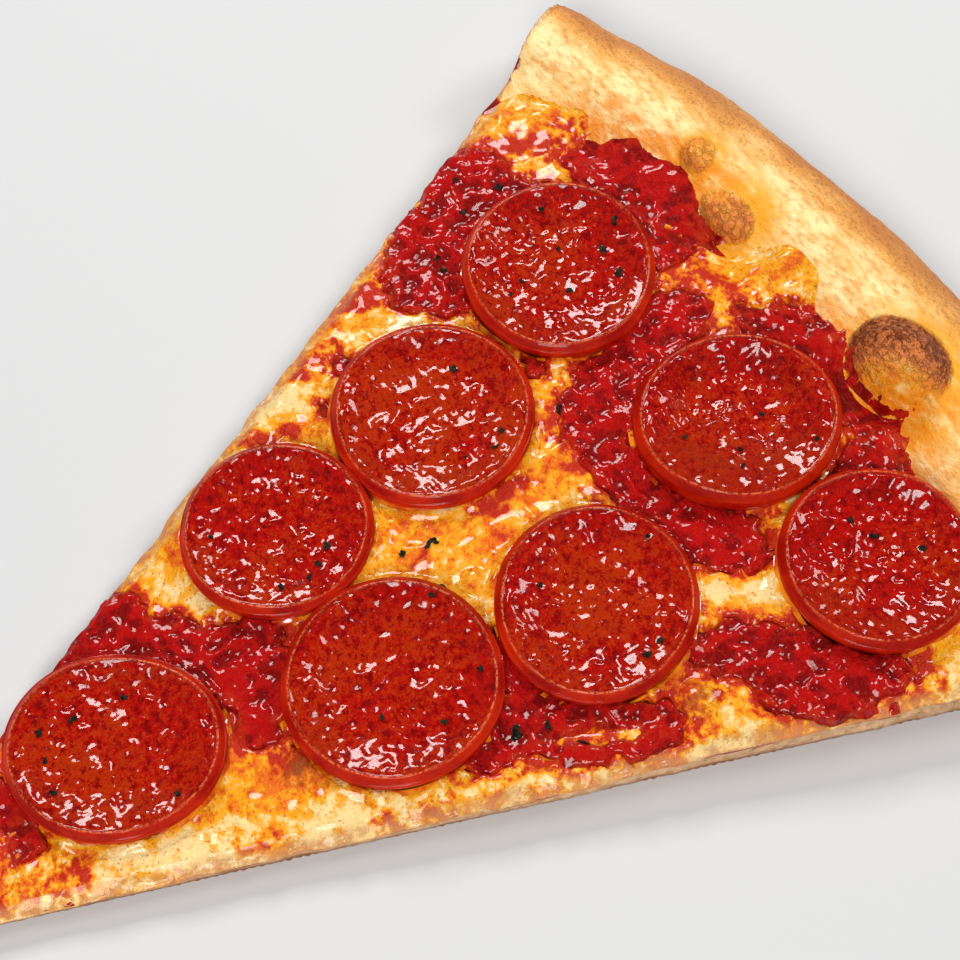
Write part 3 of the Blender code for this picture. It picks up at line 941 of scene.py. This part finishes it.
material, tree, shader = new_material("melted_mozzarella")
clots = noise(6.0 * MM, 5, (1, 1, 1), 0.62, 4.0)
fine_clots = noise(1.9 * MM, 4, (1, 1, 1), 0.6, 7.0)
specks = noise(0.9 * MM, 3, (1, 1, 1), 0.6, 12.0)
tone = plus(times(clots, 0.55), times(fine_clots, 0.45))
tone = plus(tone, times(less(specks, 0.5), 0.16))
for name, share in (
    ("pale", -0.12),
    ("hollow", 0.10),
    ("oily", 0.065),
    ("stained", 0.13),
    ("toasted", 0.10),
):
    tone = plus(tone, times(painted(name), share))
broken = times(painted("stained"), spread(fine_clots, 0.36, 0.60))
tone = plus(tone, times(broken, 0.15))
base = blend_color(spread(tone, 0.43, 0.55), CREAM_CHEESE, YELLOW_CHEESE)
base = blend_color(spread(tone, 0.55, 0.66), base, ORANGE_OIL)
base = blend_color(spread(tone, 0.65, 0.75), base, SAUCE_STAIN)
dots = noise(0.6 * MM, 2, (1, 1, 1), 0.5, 18.0)
dots = times(spread(dots, 0.60, 0.70), spread(clots, 0.30, 0.55))
base = blend_color(times(dots, 0.75), base, (0.50, 0.050, 0.004))
toast = times(painted("toasted"), spread(fine_clots, 0.34, 0.58))
base = blend_color(toast, base, TOASTED_CHEESE)
# Painted shade on the rounded cut edge, broken up by the clots.
edge_shade = times(painted("shaded_cut_edge"), spread(fine_clots, 0.25, 0.60))
base = blend_color(times(edge_shade, 0.85), base, SHADED_CUT_EDGE)
tree.links.new(base, shader.inputs["Base Color"])
shader.inputs["Roughness"].default_value = 0.34
shader.inputs["Specular IOR Level"].default_value = 0.18
shader.inputs["Subsurface Weight"].default_value = 0.10
shader.inputs["Subsurface Radius"].default_value = (2.5 * MM, 1.2 * MM, 0.4 * MM)
shader.inputs["Subsurface Scale"].default_value = 1.0
cut_share = painted("cut_face")
tree.links.new(less(0.55, times(cut_share, 0.28)), shader.inputs["Coat Weight"])
shader.inputs["Coat Roughness"].default_value = 0.08
wrinkles = plus(clots, times(fine_clots, 0.8))
wrinkles = plus(wrinkles, times(specks, 0.45))
calm = less(1.0, times(cut_share, 0.35))
bumpy(times(wrinkles, calm), 1.5 * MM, 0.85)
dress(cheese, material)
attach(cheese, "root")
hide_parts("cheese")

# ----------------------------------------------------------------- crushed tomato
# One thin layer of seasoned crushed tomato between bread and cheese. It shows
# as a red line at the cut sides, and stands up in rough wet mounds where no
# cheese covers it.
SAUCE_END = 200.5 * MM

sauce = add_sheet("crushed_tomato", 211 * MM)


def sauce_shows(middle):
    x, y = np.array([middle.x]), np.array([middle.y])
    near_patch = inside_patches(SAUCE_SHOWS, x, y)[0] > -2.6 * MM
    return around_cups(x, y)[0] > -1.8 * MM and near_patch


refine(sauce, sauce_shows)
co = points_of(sauce)
x, y = co[:, 0], co[:, 1]
flat = np.stack([x, y, 0 * x], 1)
share_down = np.clip(-co[:, 2] / MM, 0, 1)
r = from_tip(x, y)
land = ground_height(x, y, 188 * MM)
bare = sauce_bare(x, y)
gap = around_cups(x, y)
inset, side = cut_distance(x, y)

ridged = 1 - 2 * np.abs(lumps(flat + 0.6 * MM * lumps(flat, 2 * MM, 51)[:, None], 2.9 * MM, 52))
pulp = 0.30 * ridged + 0.26 * lumps(flat, 5 * MM, 53)
pulp += 0.28 * lumps(flat, 1.6 * MM, 54) + 0.17 * lumps(flat, 0.9 * MM, 55)
covered = land + sauce_depth(r) - 0.06 * MM
mound = topping_height(x, y) + (pulp - 0.05) * MM
mound += 0.55 * MM * smooth(1 - np.abs(gap) / (2.0 * MM))
mound -= 1.6 * MM * smooth((-gap - 0.6 * MM) / (1.2 * MM)) * smooth(r / (70 * MM))
share_up = smooth((bare + 0.5 * MM) / (1.5 * MM)) * smooth((-gap + 7 * MM) / (5 * MM) + 3)
top = covered + (mound - covered) * share_up
edge = SAUCE_END + (3.2 * lumps(flat, 9 * MM, 56) + 1.4 * lumps(flat, 3 * MM, 57)) * MM
for bx, bfar, size in ((-44, 201, 12), (10, 200, 16)):
    reach = smooth(1.4 - np.hypot(x - bx * MM, y - TIP.y - bfar * MM) / (size * MM))
    edge += 5.0 * MM * reach
edge = np.minimum(edge, cheese_edge(flat) + 30 * MM * smooth(bare / (2 * MM) + 1) - 2.5 * MM)
fringe = np.minimum((edge - r) / (6 * MM), off_blisters(x, y) / (4.0 * MM))
film = (0.55 * cheese_depth(r) + sauce_depth(r) + 0.8 * pulp * MM) * smooth(fringe) * share_up
film += (1 - share_up) * (sauce_depth(r) - 0.06 * MM) * smooth(fringe * 2)
film -= 1.6 * MM * smooth(-fringe * 2.5)
on_crust = smooth((r - 190 * MM) / (7 * MM))
top = top * (1 - on_crust) + (land + film) * on_crust
bottom = np.minimum(land - 0.08 * MM, top - 0.2 * MM)
rounding = smooth(1 - inset / (1.4 * MM))
top -= rounding**2 * 0.5 * MM * share_up
co[:, 2] = np.maximum(top * (1 - share_down) + bottom * share_down, 1.0 * MM)
push = (0.10 + 0.22 * lumps(flat, 4 * MM, 58)) * smooth(1 - inset / (0.3 * MM))
push += wander(flat, side) * smooth(1 - inset / (3 * MM))
push *= smooth((206 * MM - r) / (8 * MM)) * smooth(r / (9 * MM))
co[:, 0] += side * CUT_NORMAL.x * push * MM
co[:, 1] += CUT_NORMAL.y * push * MM
place_points(sauce, co)
paint(sauce, "thin", smooth(1 - bare / (2.6 * MM)))
# How high the pulp stands; the material paints its pits darker and its mounds brighter, as painted
# shade and light.
paint(sauce, "raised", smooth(0.5 + 1.1 * pulp))
take(sauce)
bpy.ops.object.shade_smooth()

TOMATO_RED = (0.60, 0.0030, 0.0020)
TOMATO_DEEP = (0.27, 0.0002, 0.0004)
TOMATO_BRIGHT = (0.68, 0.028, 0.010)

material, tree, shader = new_material("crushed_tomato")
pulp_noise = noise(1.9 * MM, 5, (1, 1, 1), 0.65, 3.0)
seedy = noise(0.65 * MM, 4, (1, 1, 1), 0.65, 6.0)
# Painted shade and light: deeper red down in the pulp's pits, brighter red on its raised mounds.
painted_relief_light = plus(times(pulp_noise, 0.6), times(painted("raised"), 0.25))
color = blend_color(spread(painted_relief_light, 0.32, 0.52), TOMATO_DEEP, TOMATO_RED)
color = blend_color(times(spread(seedy, 0.52, 0.72), 0.6), color, TOMATO_BRIGHT)
thin = times(painted("thin"), spread(pulp_noise, 0.44, 0.62))
color = blend_color(times(thin, 0.7), color, (0.66, 0.055, 0.008))
tree.links.new(color, shader.inputs["Base Color"])
shader.inputs["Roughness"].default_value = 0.36
shader.inputs["Specular IOR Level"].default_value = 0.12
shader.inputs["Coat Weight"].default_value = 0.45
shader.inputs["Coat Roughness"].default_value = 0.10
bumpy(plus(pulp_noise, times(seedy, 0.8)), 1.6 * MM, 0.9)
dress(sauce, material)
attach(sauce, "root")
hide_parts("tomato_sauce")

# ---------------------------------------------------------------------- pepperoni
# Each slice is a thick coin of coarse cured meat. The outside of the stick is
# its smooth wall; the cut face has shrunk into a rough, oily dish inside a
# narrow lip. Paprika and fat make it red with orange places. Light and shade
# are also painted into it: lighter orange on the near inner slope of each dish,
# deeper red in the valleys of its grain, and dotted highlights along the lip.
MEAT_CELLS = 104
# The wall's rings, from the lip down: share of the radius, share of the height
WALL_RINGS = (
    (0.994, 0.22),
    (1.000, 0.32),
    (0.998, 0.46),
    (0.990, 0.60),
    (0.981, 0.74),
    (0.967, 0.88),
    (0.950, 1.00),
)


def add_coin(name):
    """A unit disc of even squares, with rings pulled down from its edge."""
    deselect()
    bpy.ops.mesh.primitive_grid_add(x_subdivisions=MEAT_CELLS, y_subdivisions=MEAT_CELLS, size=2)
    piece = new_piece(name)
    co = points_of(piece)
    u, v = co[:, 0].copy(), co[:, 1].copy()
    co[:, 0] = u * np.sqrt(1 - v * v / 2)
    co[:, 1] = v * np.sqrt(1 - u * u / 2)
    place_points(piece, co)
    take(piece)
    bpy.ops.object.mode_set(mode="EDIT")
    pick(piece, "edges", lambda e: e.is_boundary)
    for _ in WALL_RINGS:
        bpy.ops.mesh.extrude_region_move(TRANSFORM_OT_translate={"value": (0, 0, -1)})
    bpy.ops.mesh.edge_face_add()
    bpy.ops.mesh.select_all(action="SELECT")
    bpy.ops.mesh.normals_make_consistent(inside=False)
    bpy.ops.object.mode_set(mode="OBJECT")
    return piece


meat, tree, shader = new_material("cured_pepperoni")
MEAT_DEEP = (0.44, 0.0005, 0.0005)
MEAT_RED = (0.93, 0.0055, 0.001)
MEAT_ORANGE = (0.95, 0.055, 0.001)
MEAT_FAT = (0.84, 0.20, 0.07)
CASING = (0.34, 0.003, 0.0004)
CASING_ORANGE = (0.55, 0.018, 0.001)
INNER_WALL = (0.56, 0.030, 0.002)
broad = noise(9 * MM, 3, (1, 1, 1), 0.55, 1.0)
chunks = noise(1.35 * MM, 5, (1, 1, 1), 0.66, 2.0)
grains = noise(0.46 * MM, 4, (1, 1, 1), 0.68, 4.0)
lip = painted("lip")
warm = painted("warm")
color = blend_color(spread(chunks, 0.34, 0.55), MEAT_DEEP, MEAT_RED)
orange = plus(times(warm, 0.50), times(broad, 0.6))
orange = plus(orange, times(chunks, 1.2))
orange = plus(orange, times(grains, 1.2))
color = blend_color(spread(orange, 1.72, 1.98), color, MEAT_ORANGE)
fat = times(spread(grains, 0.60, 0.76), 0.55)
color = blend_color(fat, color, MEAT_FAT)
# Painted shade: deep red down in the valleys of the fine grain.
valley_shade = times(spread(grains, 0.42, 0.30), 0.45)
color = blend_color(valley_shade, color, MEAT_DEEP)
slope = painted("inner_slope")
sloped = times(slope, spread(chunks, 0.30, 0.52))
color = blend_color(times(sloped, 0.60), color, INNER_WALL)
casing = blend_color(spread(broad, 0.35, 0.65), CASING, CASING_ORANGE)
color = blend_color(lip, color, casing)
# Partly fat beads at the cut edge, partly a painted dotted highlight along the lip.
fat_glint_beads = spread(noise(0.5 * MM, 2, (1, 1, 1), 0.5, 5.0), 0.42, 0.56)
color = blend_color(times(painted("fat_and_glint_line"), fat_glint_beads), color, MEAT_FAT)
tree.links.new(color, shader.inputs["Base Color"])
wet = node("MapRange")
wet.inputs["To Min"].default_value = 0.24
wet.inputs["To Max"].default_value = 0.40
tree.links.new(spread(noise(5 * MM, 3, (1, 1, 1), 0.5, 8.0), 0.35, 0.65), wet.inputs["Value"])
tree.links.new(wet.outputs["Result"], shader.inputs["Roughness"])
tree.links.new(less(0.70, times(lip, 0.52)), shader.inputs["Coat Weight"])
shader.inputs["Specular IOR Level"].default_value = 0.08
shader.inputs["Coat Roughness"].default_value = 0.10
shader.inputs["Subsurface Weight"].default_value = 0.06
shader.inputs["Subsurface Radius"].default_value = (2.0 * MM, 0.4 * MM, 0.2 * MM)
shader.inputs["Subsurface Scale"].default_value = 1.0
relief = plus(times(chunks, 0.60), times(grains, 1.50))
smoother = maths("MAXIMUM", times(lip, 0.93), times(slope, 0.35))
relief = times(relief, less(1.0, smoother))
bumpy(relief, 2.0 * MM, 1.0)

casing_finish, tree, shader = new_material("pepperoni_casing")
streaky = noise(5 * MM, 4, (1, 1, 1), 0.6, 1.0)
casing = blend_color(spread(streaky, 0.35, 0.65), CASING, CASING_ORANGE)
tree.links.new(casing, shader.inputs["Base Color"])
shader.inputs["Roughness"].default_value = 0.38
shader.inputs["Specular IOR Level"].default_value = 0.06
shader.inputs["Coat Weight"].default_value = 0.14
shader.inputs["Coat Roughness"].default_value = 0.10

coins = []
for number, cx, cy, size, wall, dish, slant, toward, offset, deep_way, warmth in cups:
    coin = add_coin(f"cured_pepperoni_{number}")
    co = points_of(coin)
    ring = np.round(-co[:, 2]).astype(int)
    rho = np.minimum(np.hypot(co[:, 0], co[:, 1]), 1.0)
    way = np.arctan2(co[:, 1], co[:, 0])
    loose = np.sin(2 * way + number) * 0.010 + np.sin(3 * way + 2.1 * number) * 0.006
    loose += np.sin(5 * way + 0.7 * number) * 0.003 - 0.012
    reach = size * (1 + loose)
    rings = np.array([(0.985, 0.0)] + list(WALL_RINGS))
    stretch = np.where(ring > 0, rings[ring, 0], 0.985 * rho)
    long, wide = OVALS[number - 1]
    along = np.cos(way - OVAL_TURN) * long * reach * stretch
    across = np.sin(way - OVAL_TURN) * wide * reach * stretch
    x = cx + along * math.cos(OVAL_TURN) - across * math.sin(OVAL_TURN)
    y = cy + along * math.sin(OVAL_TURN) + across * math.cos(OVAL_TURN)
    spot = np.stack([x, y, 0 * x], 1)

    pull = np.array((math.cos(math.radians(deep_way)), math.sin(math.radians(deep_way))))
    centred = co[:, :2] - pull * offset * (1 - rho)[:, None]
    q = np.hypot(centred[:, 0], centred[:, 1])
    flat_floor = 0.62 - 0.10 * (dish - 1.5)
    bowl = smooth((q - flat_floor) / (0.965 - flat_floor))
    lift = slant * np.cos(way - math.radians(toward)) * smooth(rho)
    lift += 0.22 * np.sin(3 * way + number * 1.3) * smooth(rho * 1.5 - 0.5)
    facing_right = np.cos(way + math.radians(35))
    near_side = smooth(facing_right * 1.6 + 0.1)
    inner = smooth((bowl - 0.22) / 0.3) * near_side * np.clip((dish - 1.5) / 1.4, 0, 1)
    rough = smooth((0.932 - rho) / 0.05) * (1 - 0.45 * inner)
    bumps = 0.26 * lumps(spot, 3.4 * MM, 60 + number)
    bumps += 0.27 * lumps(spot, 1.8 * MM, 70 + number)
    bumps += 0.24 * lumps(spot, 1.0 * MM, 80 + number)
    bumps += 0.22 * dish * (1 - 2 * np.abs(lumps(spot, 6.5 * MM, 90 + number))) * rough
    lip_ridge = 0.16 * np.exp(-(((rho - 0.936) / 0.012) ** 2))
    lip_ridge -= 1.05 * np.clip((rho - 0.940) / 0.060, 0, 1) ** 1.5
    height = wall - 0.35 - dish * (1 - bowl) + lift + bumps * rough * 0.9 + lip_ridge
    rim_height = wall - 0.35 + lift
    sink = -0.45
    down = rings[ring, 1]
    height = np.where(ring > 0, (rim_height - 0.06) * (1 - down) + sink * down, height)
    base = topping_height(np.full(len(x), cx) * 0.6 + x * 0.4, cy * 0.6 + y * 0.4)
    climb = (TOP_GROWTH * 1.5 / TOPPED_RADIUS) * 0.6 * (from_tip(x, y) - from_tip(cx, cy))
    base = base + climb * np.sqrt(from_tip(cx, cy) / TOPPED_RADIUS)
    place_points(coin, np.stack([x, y, base + height * MM], 1))
    paint(coin, "lip", np.where(ring > 0, 1.0, smooth((rho - 0.908) / 0.024)))
    # A dotted line at the top of the lip: partly fat, partly painted highlight.
    paint(coin, "fat_and_glint_line", np.where(ring > 1, 0.0, np.exp(-(((rho - 0.936) / 0.009) ** 2))))
    paint(coin, "inner_slope", inner * (1 - smooth((rho - 0.905) / 0.03)))
    # Painted light: the near inner slope of the dish is painted a lighter orange. The rest of the
    # warmth is the meat's own, more orange toward the middle.
    lit_near_slope = smooth((bowl - 0.15) / 0.5) * smooth(facing_right * 1.4)
    warmth_and_light = warmth + 0.25 * lumps(spot, 8 * MM, 100 + number)
    warmth_and_light = warmth_and_light + 0.22 * lit_near_slope + 0.34 * (0.5 - rho**2)
    paint(coin, "warm", warmth_and_light)
    take(coin)
    bpy.ops.object.shade_smooth()
    dress(coin, meat, casing_finish)
    for face in coin.data.polygons:
        face.material_index = int(min(ring[v] for v in face.vertices) > 0)
    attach(coin, "root")
    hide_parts(f"pepperoni_{number}")
    coins.append(coin)

# ------------------------------------------------------------------- rendered fat
# Paprika-orange fat has run out of the pepperoni and stands as a thin glossy
# meniscus around the foot of each one, in some places wide and in others gone.
deselect()
depsgraph = bpy.context.evaluated_depsgraph_get()
melt = [BVHTree.FromObject(piece, depsgraph) for piece in (cheese, sauce)]
RING_STEPS, RING_SIDES = 220, 10
rings = []
for number, cx, cy, size, *_ in cups:
    deselect()
    bpy.ops.mesh.primitive_torus_add(
        major_segments=RING_STEPS, minor_segments=RING_SIDES, major_radius=1, minor_radius=0.1
    )
    ring = new_piece("fat_ring")
    co = points_of(ring)
    way = np.arctan2(co[:, 1], co[:, 0])
    out = (np.hypot(co[:, 0], co[:, 1]) - 0.9) / 0.2
    lift = co[:, 2] / 0.1
    long, wide = OVALS[number - 1]
    circle = np.stack([np.cos(way), np.sin(way), 0 * way], 1)
    amount = smooth(0.30 + 1.1 * lumps(circle * size, 7 * MM, 120 + number))
    reach = size + (-0.5 + (0.55 + 0.45 * amount) * out) * MM
    along = np.cos(way - OVAL_TURN) * long * reach
    across = np.sin(way - OVAL_TURN) * wide * reach
    x = cx + along * math.cos(OVAL_TURN) - across * math.sin(OVAL_TURN)
    y = cy + along * math.sin(OVAL_TURN) + across * math.cos(OVAL_TURN)
    inset, _ = cut_distance(x, y)
    amount *= smooth((inset - 1.5 * MM) / (2 * MM))
    amount *= 1 - 0.9 * smooth((sauce_bare(x, y) + 1.5 * MM) / (2 * MM))
    for i in range(len(co)):
        z = 0.0
        for surface in melt:
            hit = surface.ray_cast(Vector((x[i], y[i], ABOVE_FOOD)), DOWN)[0]
            z = max(z, hit.z if hit else 0.0)
        # Known fault: rounding can take 1 - out just under zero at the outer edge.
        # Its power is then not a number, and that edge of the ring is lost.
        film = (-0.10 + 0.45 * (1 - out[i]) ** 1.5) * amount[i] - 0.5 * (1 - amount[i])
        co[i] = (x[i], y[i], z + (film if lift[i] > -0.05 else -0.5) * MM)
    around = co[:, 2].reshape(RING_STEPS, RING_SIDES)
    around = np.max([np.roll(around, k, 0) for k in range(-3, 4)], axis=0)
    around = sum(np.roll(around, k, 0) for k in range(-3, 4)) / 7
    co[:, 2] = around.ravel()
    place_points(ring, co)
    rings.append(ring)


def joined(pieces, name):
    """Makes one piece of many."""
    deselect()
    for piece in pieces:
        piece.select_set(True)
    bpy.context.view_layer.objects.active = pieces[0]
    bpy.ops.object.join()
    whole = bpy.context.object
    whole.name = whole.data.name = name
    return whole


fat_film = joined(rings, "rendered_fat")
bpy.ops.object.shade_smooth()
material, tree, shader = new_material("orange_fat")
murky = noise(4 * MM, 4, (1, 1, 1), 0.6, 11.0)
color = blend_color(spread(murky, 0.38, 0.62), (0.82, 0.24, 0.006), (0.56, 0.045, 0.002))
tree.links.new(color, shader.inputs["Base Color"])
shader.inputs["Roughness"].default_value = 0.12
shader.inputs["Coat Weight"].default_value = 0.55
shader.inputs["Coat Roughness"].default_value = 0.10
dress(fat_film, material)
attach(fat_film, "root")

# --------------------------------------------------------------------- herb flecks
# Dried oregano and basil crumbled over the pizza before baking: thin dark
# scraps one or two millimetres across, stuck to whatever they fell on.
# x, distance from the tip, length in mm
HERBS = (
    (-36.0, 183.5, 2.0), (-33.0, 178.5, 2.2), (-27.0, 178.0, 2.4), (-46.5, 174.0, 1.6),
    (-38.0, 172.0, 1.4), (-36.0, 162.0, 1.6), (-29.0, 168.0, 1.5), (-35.0, 158.5, 1.3),
    (-58.0, 172.0, 2.2), (-64.5, 166.5, 1.6), (-57.0, 163.0, 2.0), (-51.5, 153.0, 1.8),
    (-48.5, 152.5, 1.4), (-54.0, 169.0, 1.3), (-28.0, 140.5, 1.8), (-12.0, 140.0, 1.8),
    (-10.0, 137.0, 1.5), (-12.0, 132.0, 1.2), (12.0, 180.5, 1.4), (16.0, 172.0, 1.6),
    (19.0, 170.0, 1.2), (8.0, 166.0, 1.4), (23.0, 183.0, 1.4), (-3.0, 118.0, 2.4),
    (-4.0, 113.0, 1.8), (-11.0, 152.0, 2.2), (34.0, 110.0, 2.8), (42.0, 118.0, 2.0),
    (-12.0, 102.5, 1.6), (-10.0, 99.5, 1.8), (-9.0, 97.0, 1.6), (-10.0, 92.0, 1.6),
    (-25.5, 87.0, 1.3), (6.0, 114.5, 1.7), (7.0, 111.5, 1.4), (22.5, 111.0, 1.5),
    (26.0, 101.0, 1.5), (19.5, 93.0, 1.3), (38.0, 178.5, 1.8), (42.0, 179.5, 1.8),
    (49.0, 184.5, 1.6), (16.0, 128.0, 1.6), (36.0, 138.0, 1.7), (37.0, 135.0, 1.8),
    (20.0, 148.0, 1.3), (-1.0, 42.5, 2.0), (-10.5, 51.0, 1.8), (-11.5, 45.5, 1.6),
    (11.0, 59.0, 1.5), (-9.0, 60.0, 1.5), (36.0, 115.0, 1.6), (-7.0, 44.0, 1.4),
)

deselect()
bpy.context.view_layer.update()
depsgraph = bpy.context.evaluated_depsgraph_get()
surfaces = [BVHTree.FromObject(piece, depsgraph) for piece in (dough, cheese, sauce, *coins)]


def surface_at(x, y):
    """Highest point of the food under one place, and its normal."""
    best, facing = Vector((x, y, 0)), Vector((0, 0, 1))
    for surface in surfaces:
        point, normal, _, _ = surface.ray_cast(Vector((x, y, ABOVE_FOOD)), DOWN)
        if point and point.z > best.z:
            best, facing = point, normal
    return best, facing


rng = np.random.default_rng(7)
flakes = []
for hx, hfar, length in HERBS:
    for part in range(1 + int(length > 1.2) + int(length > 1.5) + int(length > 2.0)):
        spread_out = 0.0 if part == 0 else 0.36 * length
        px = (hx + rng.uniform(-spread_out, spread_out)) * MM
        py = TIP.y + (hfar + rng.uniform(-spread_out, spread_out)) * MM
        point, facing = surface_at(px, py)
        deselect()
        bpy.ops.mesh.primitive_ico_sphere_add(subdivisions=2, radius=MM)
        flake = bpy.context.object
        half = length * (0.42 if part == 0 else 0.27)
        flake.scale = (half * rng.uniform(0.7, 1.3), half * rng.uniform(0.35, 0.75), 0.17)
        flake.rotation_mode = "QUATERNION"
        lean = facing + Vector(rng.uniform(-0.35, 0.35, 3))
        flake.rotation_quaternion = lean.to_track_quat("Z", "Y")
        flake.location = point + facing * 0.16 * MM
        piece = new_piece("herb_flake")
        bent = points_of(piece)
        bent += (rng.uniform(-0.20, 0.20, bent.shape) * half * MM) * (1, 1, 0.5)
        place_points(piece, bent)
        flakes.append(piece)
herbs = joined(flakes, "dried_herbs")
material, tree, shader = new_material("dried_oregano")
leafy = noise(0.7 * MM, 3, (1, 1, 1), 0.6, 1.0)
color = blend_color(spread(leafy, 0.4, 0.68), (0.004, 0.004, 0.003), (0.020, 0.024, 0.010))
tree.links.new(color, shader.inputs["Base Color"])
shader.inputs["Roughness"].default_value = 0.35
shader.inputs["Specular IOR Level"].default_value = 0.12
bumpy(leafy, 0.3 * MM, 0.8)
dress(herbs, material)
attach(herbs, "root")

# ---------------------------------------------------------------------- the studio
# A pale table and three soft square lights: the broadest and strongest in front,
# one behind that glances off the oil, and the weakest beyond the crust.
deselect()
bpy.ops.mesh.primitive_plane_add(size=6)
table_top = bpy.context.object
table_top.name = "table_top"
material, tree, shader = new_material("pale_table")
shader.inputs["Base Color"].default_value = (0.62, 0.62, 0.62, 1)
shader.inputs["Roughness"].default_value = 0.8
table_top.data.materials.append(material)


def soft_light(name, place, aim, wide, power):
    bpy.ops.object.light_add(type="AREA", location=place)
    light = bpy.context.object
    light.name = name
    light.data.shape = "SQUARE"
    light.data.size = wide
    light.data.energy = power
    light.rotation_euler = (Vector(aim) - Vector(place)).to_track_quat("-Z", "Y").to_euler()


soft_light("back_light", (-0.66, 0.28, 0.70), (0, 0, 0), 0.32, 6.4)
soft_light("right_light", (0.16, 0.70, 0.66), (0, 0, 0), 0.28, 3.2)
soft_light("front_light", (0.55, -0.60, 0.80), (0, 0, 0), 0.45, 10.5)
world = bpy.data.worlds.new("studio")
bpy.context.scene.world = world
world.use_nodes = True
world.node_tree.nodes["Background"].inputs["Color"].default_value = (1.0, 0.98, 0.95, 1)
world.node_tree.nodes["Background"].inputs["Strength"].default_value = 0.08

# The view looks down across the right cut side, the tip toward lower left.
bpy.ops.object.camera_add(location=(0.10184, -0.0600, 0.26159))
camera = bpy.context.object
back = Vector((0.38318, -0.27162, 0.88283))
camera.rotation_euler = (-back).to_track_quat("-Z", "Y").to_euler()
camera.data.lens = 60
camera.data.sensor_width = 36
camera.data.clip_start = 0.01
bpy.context.scene.camera = camera
bpy.context.scene.view_settings.view_transform = "Standard"
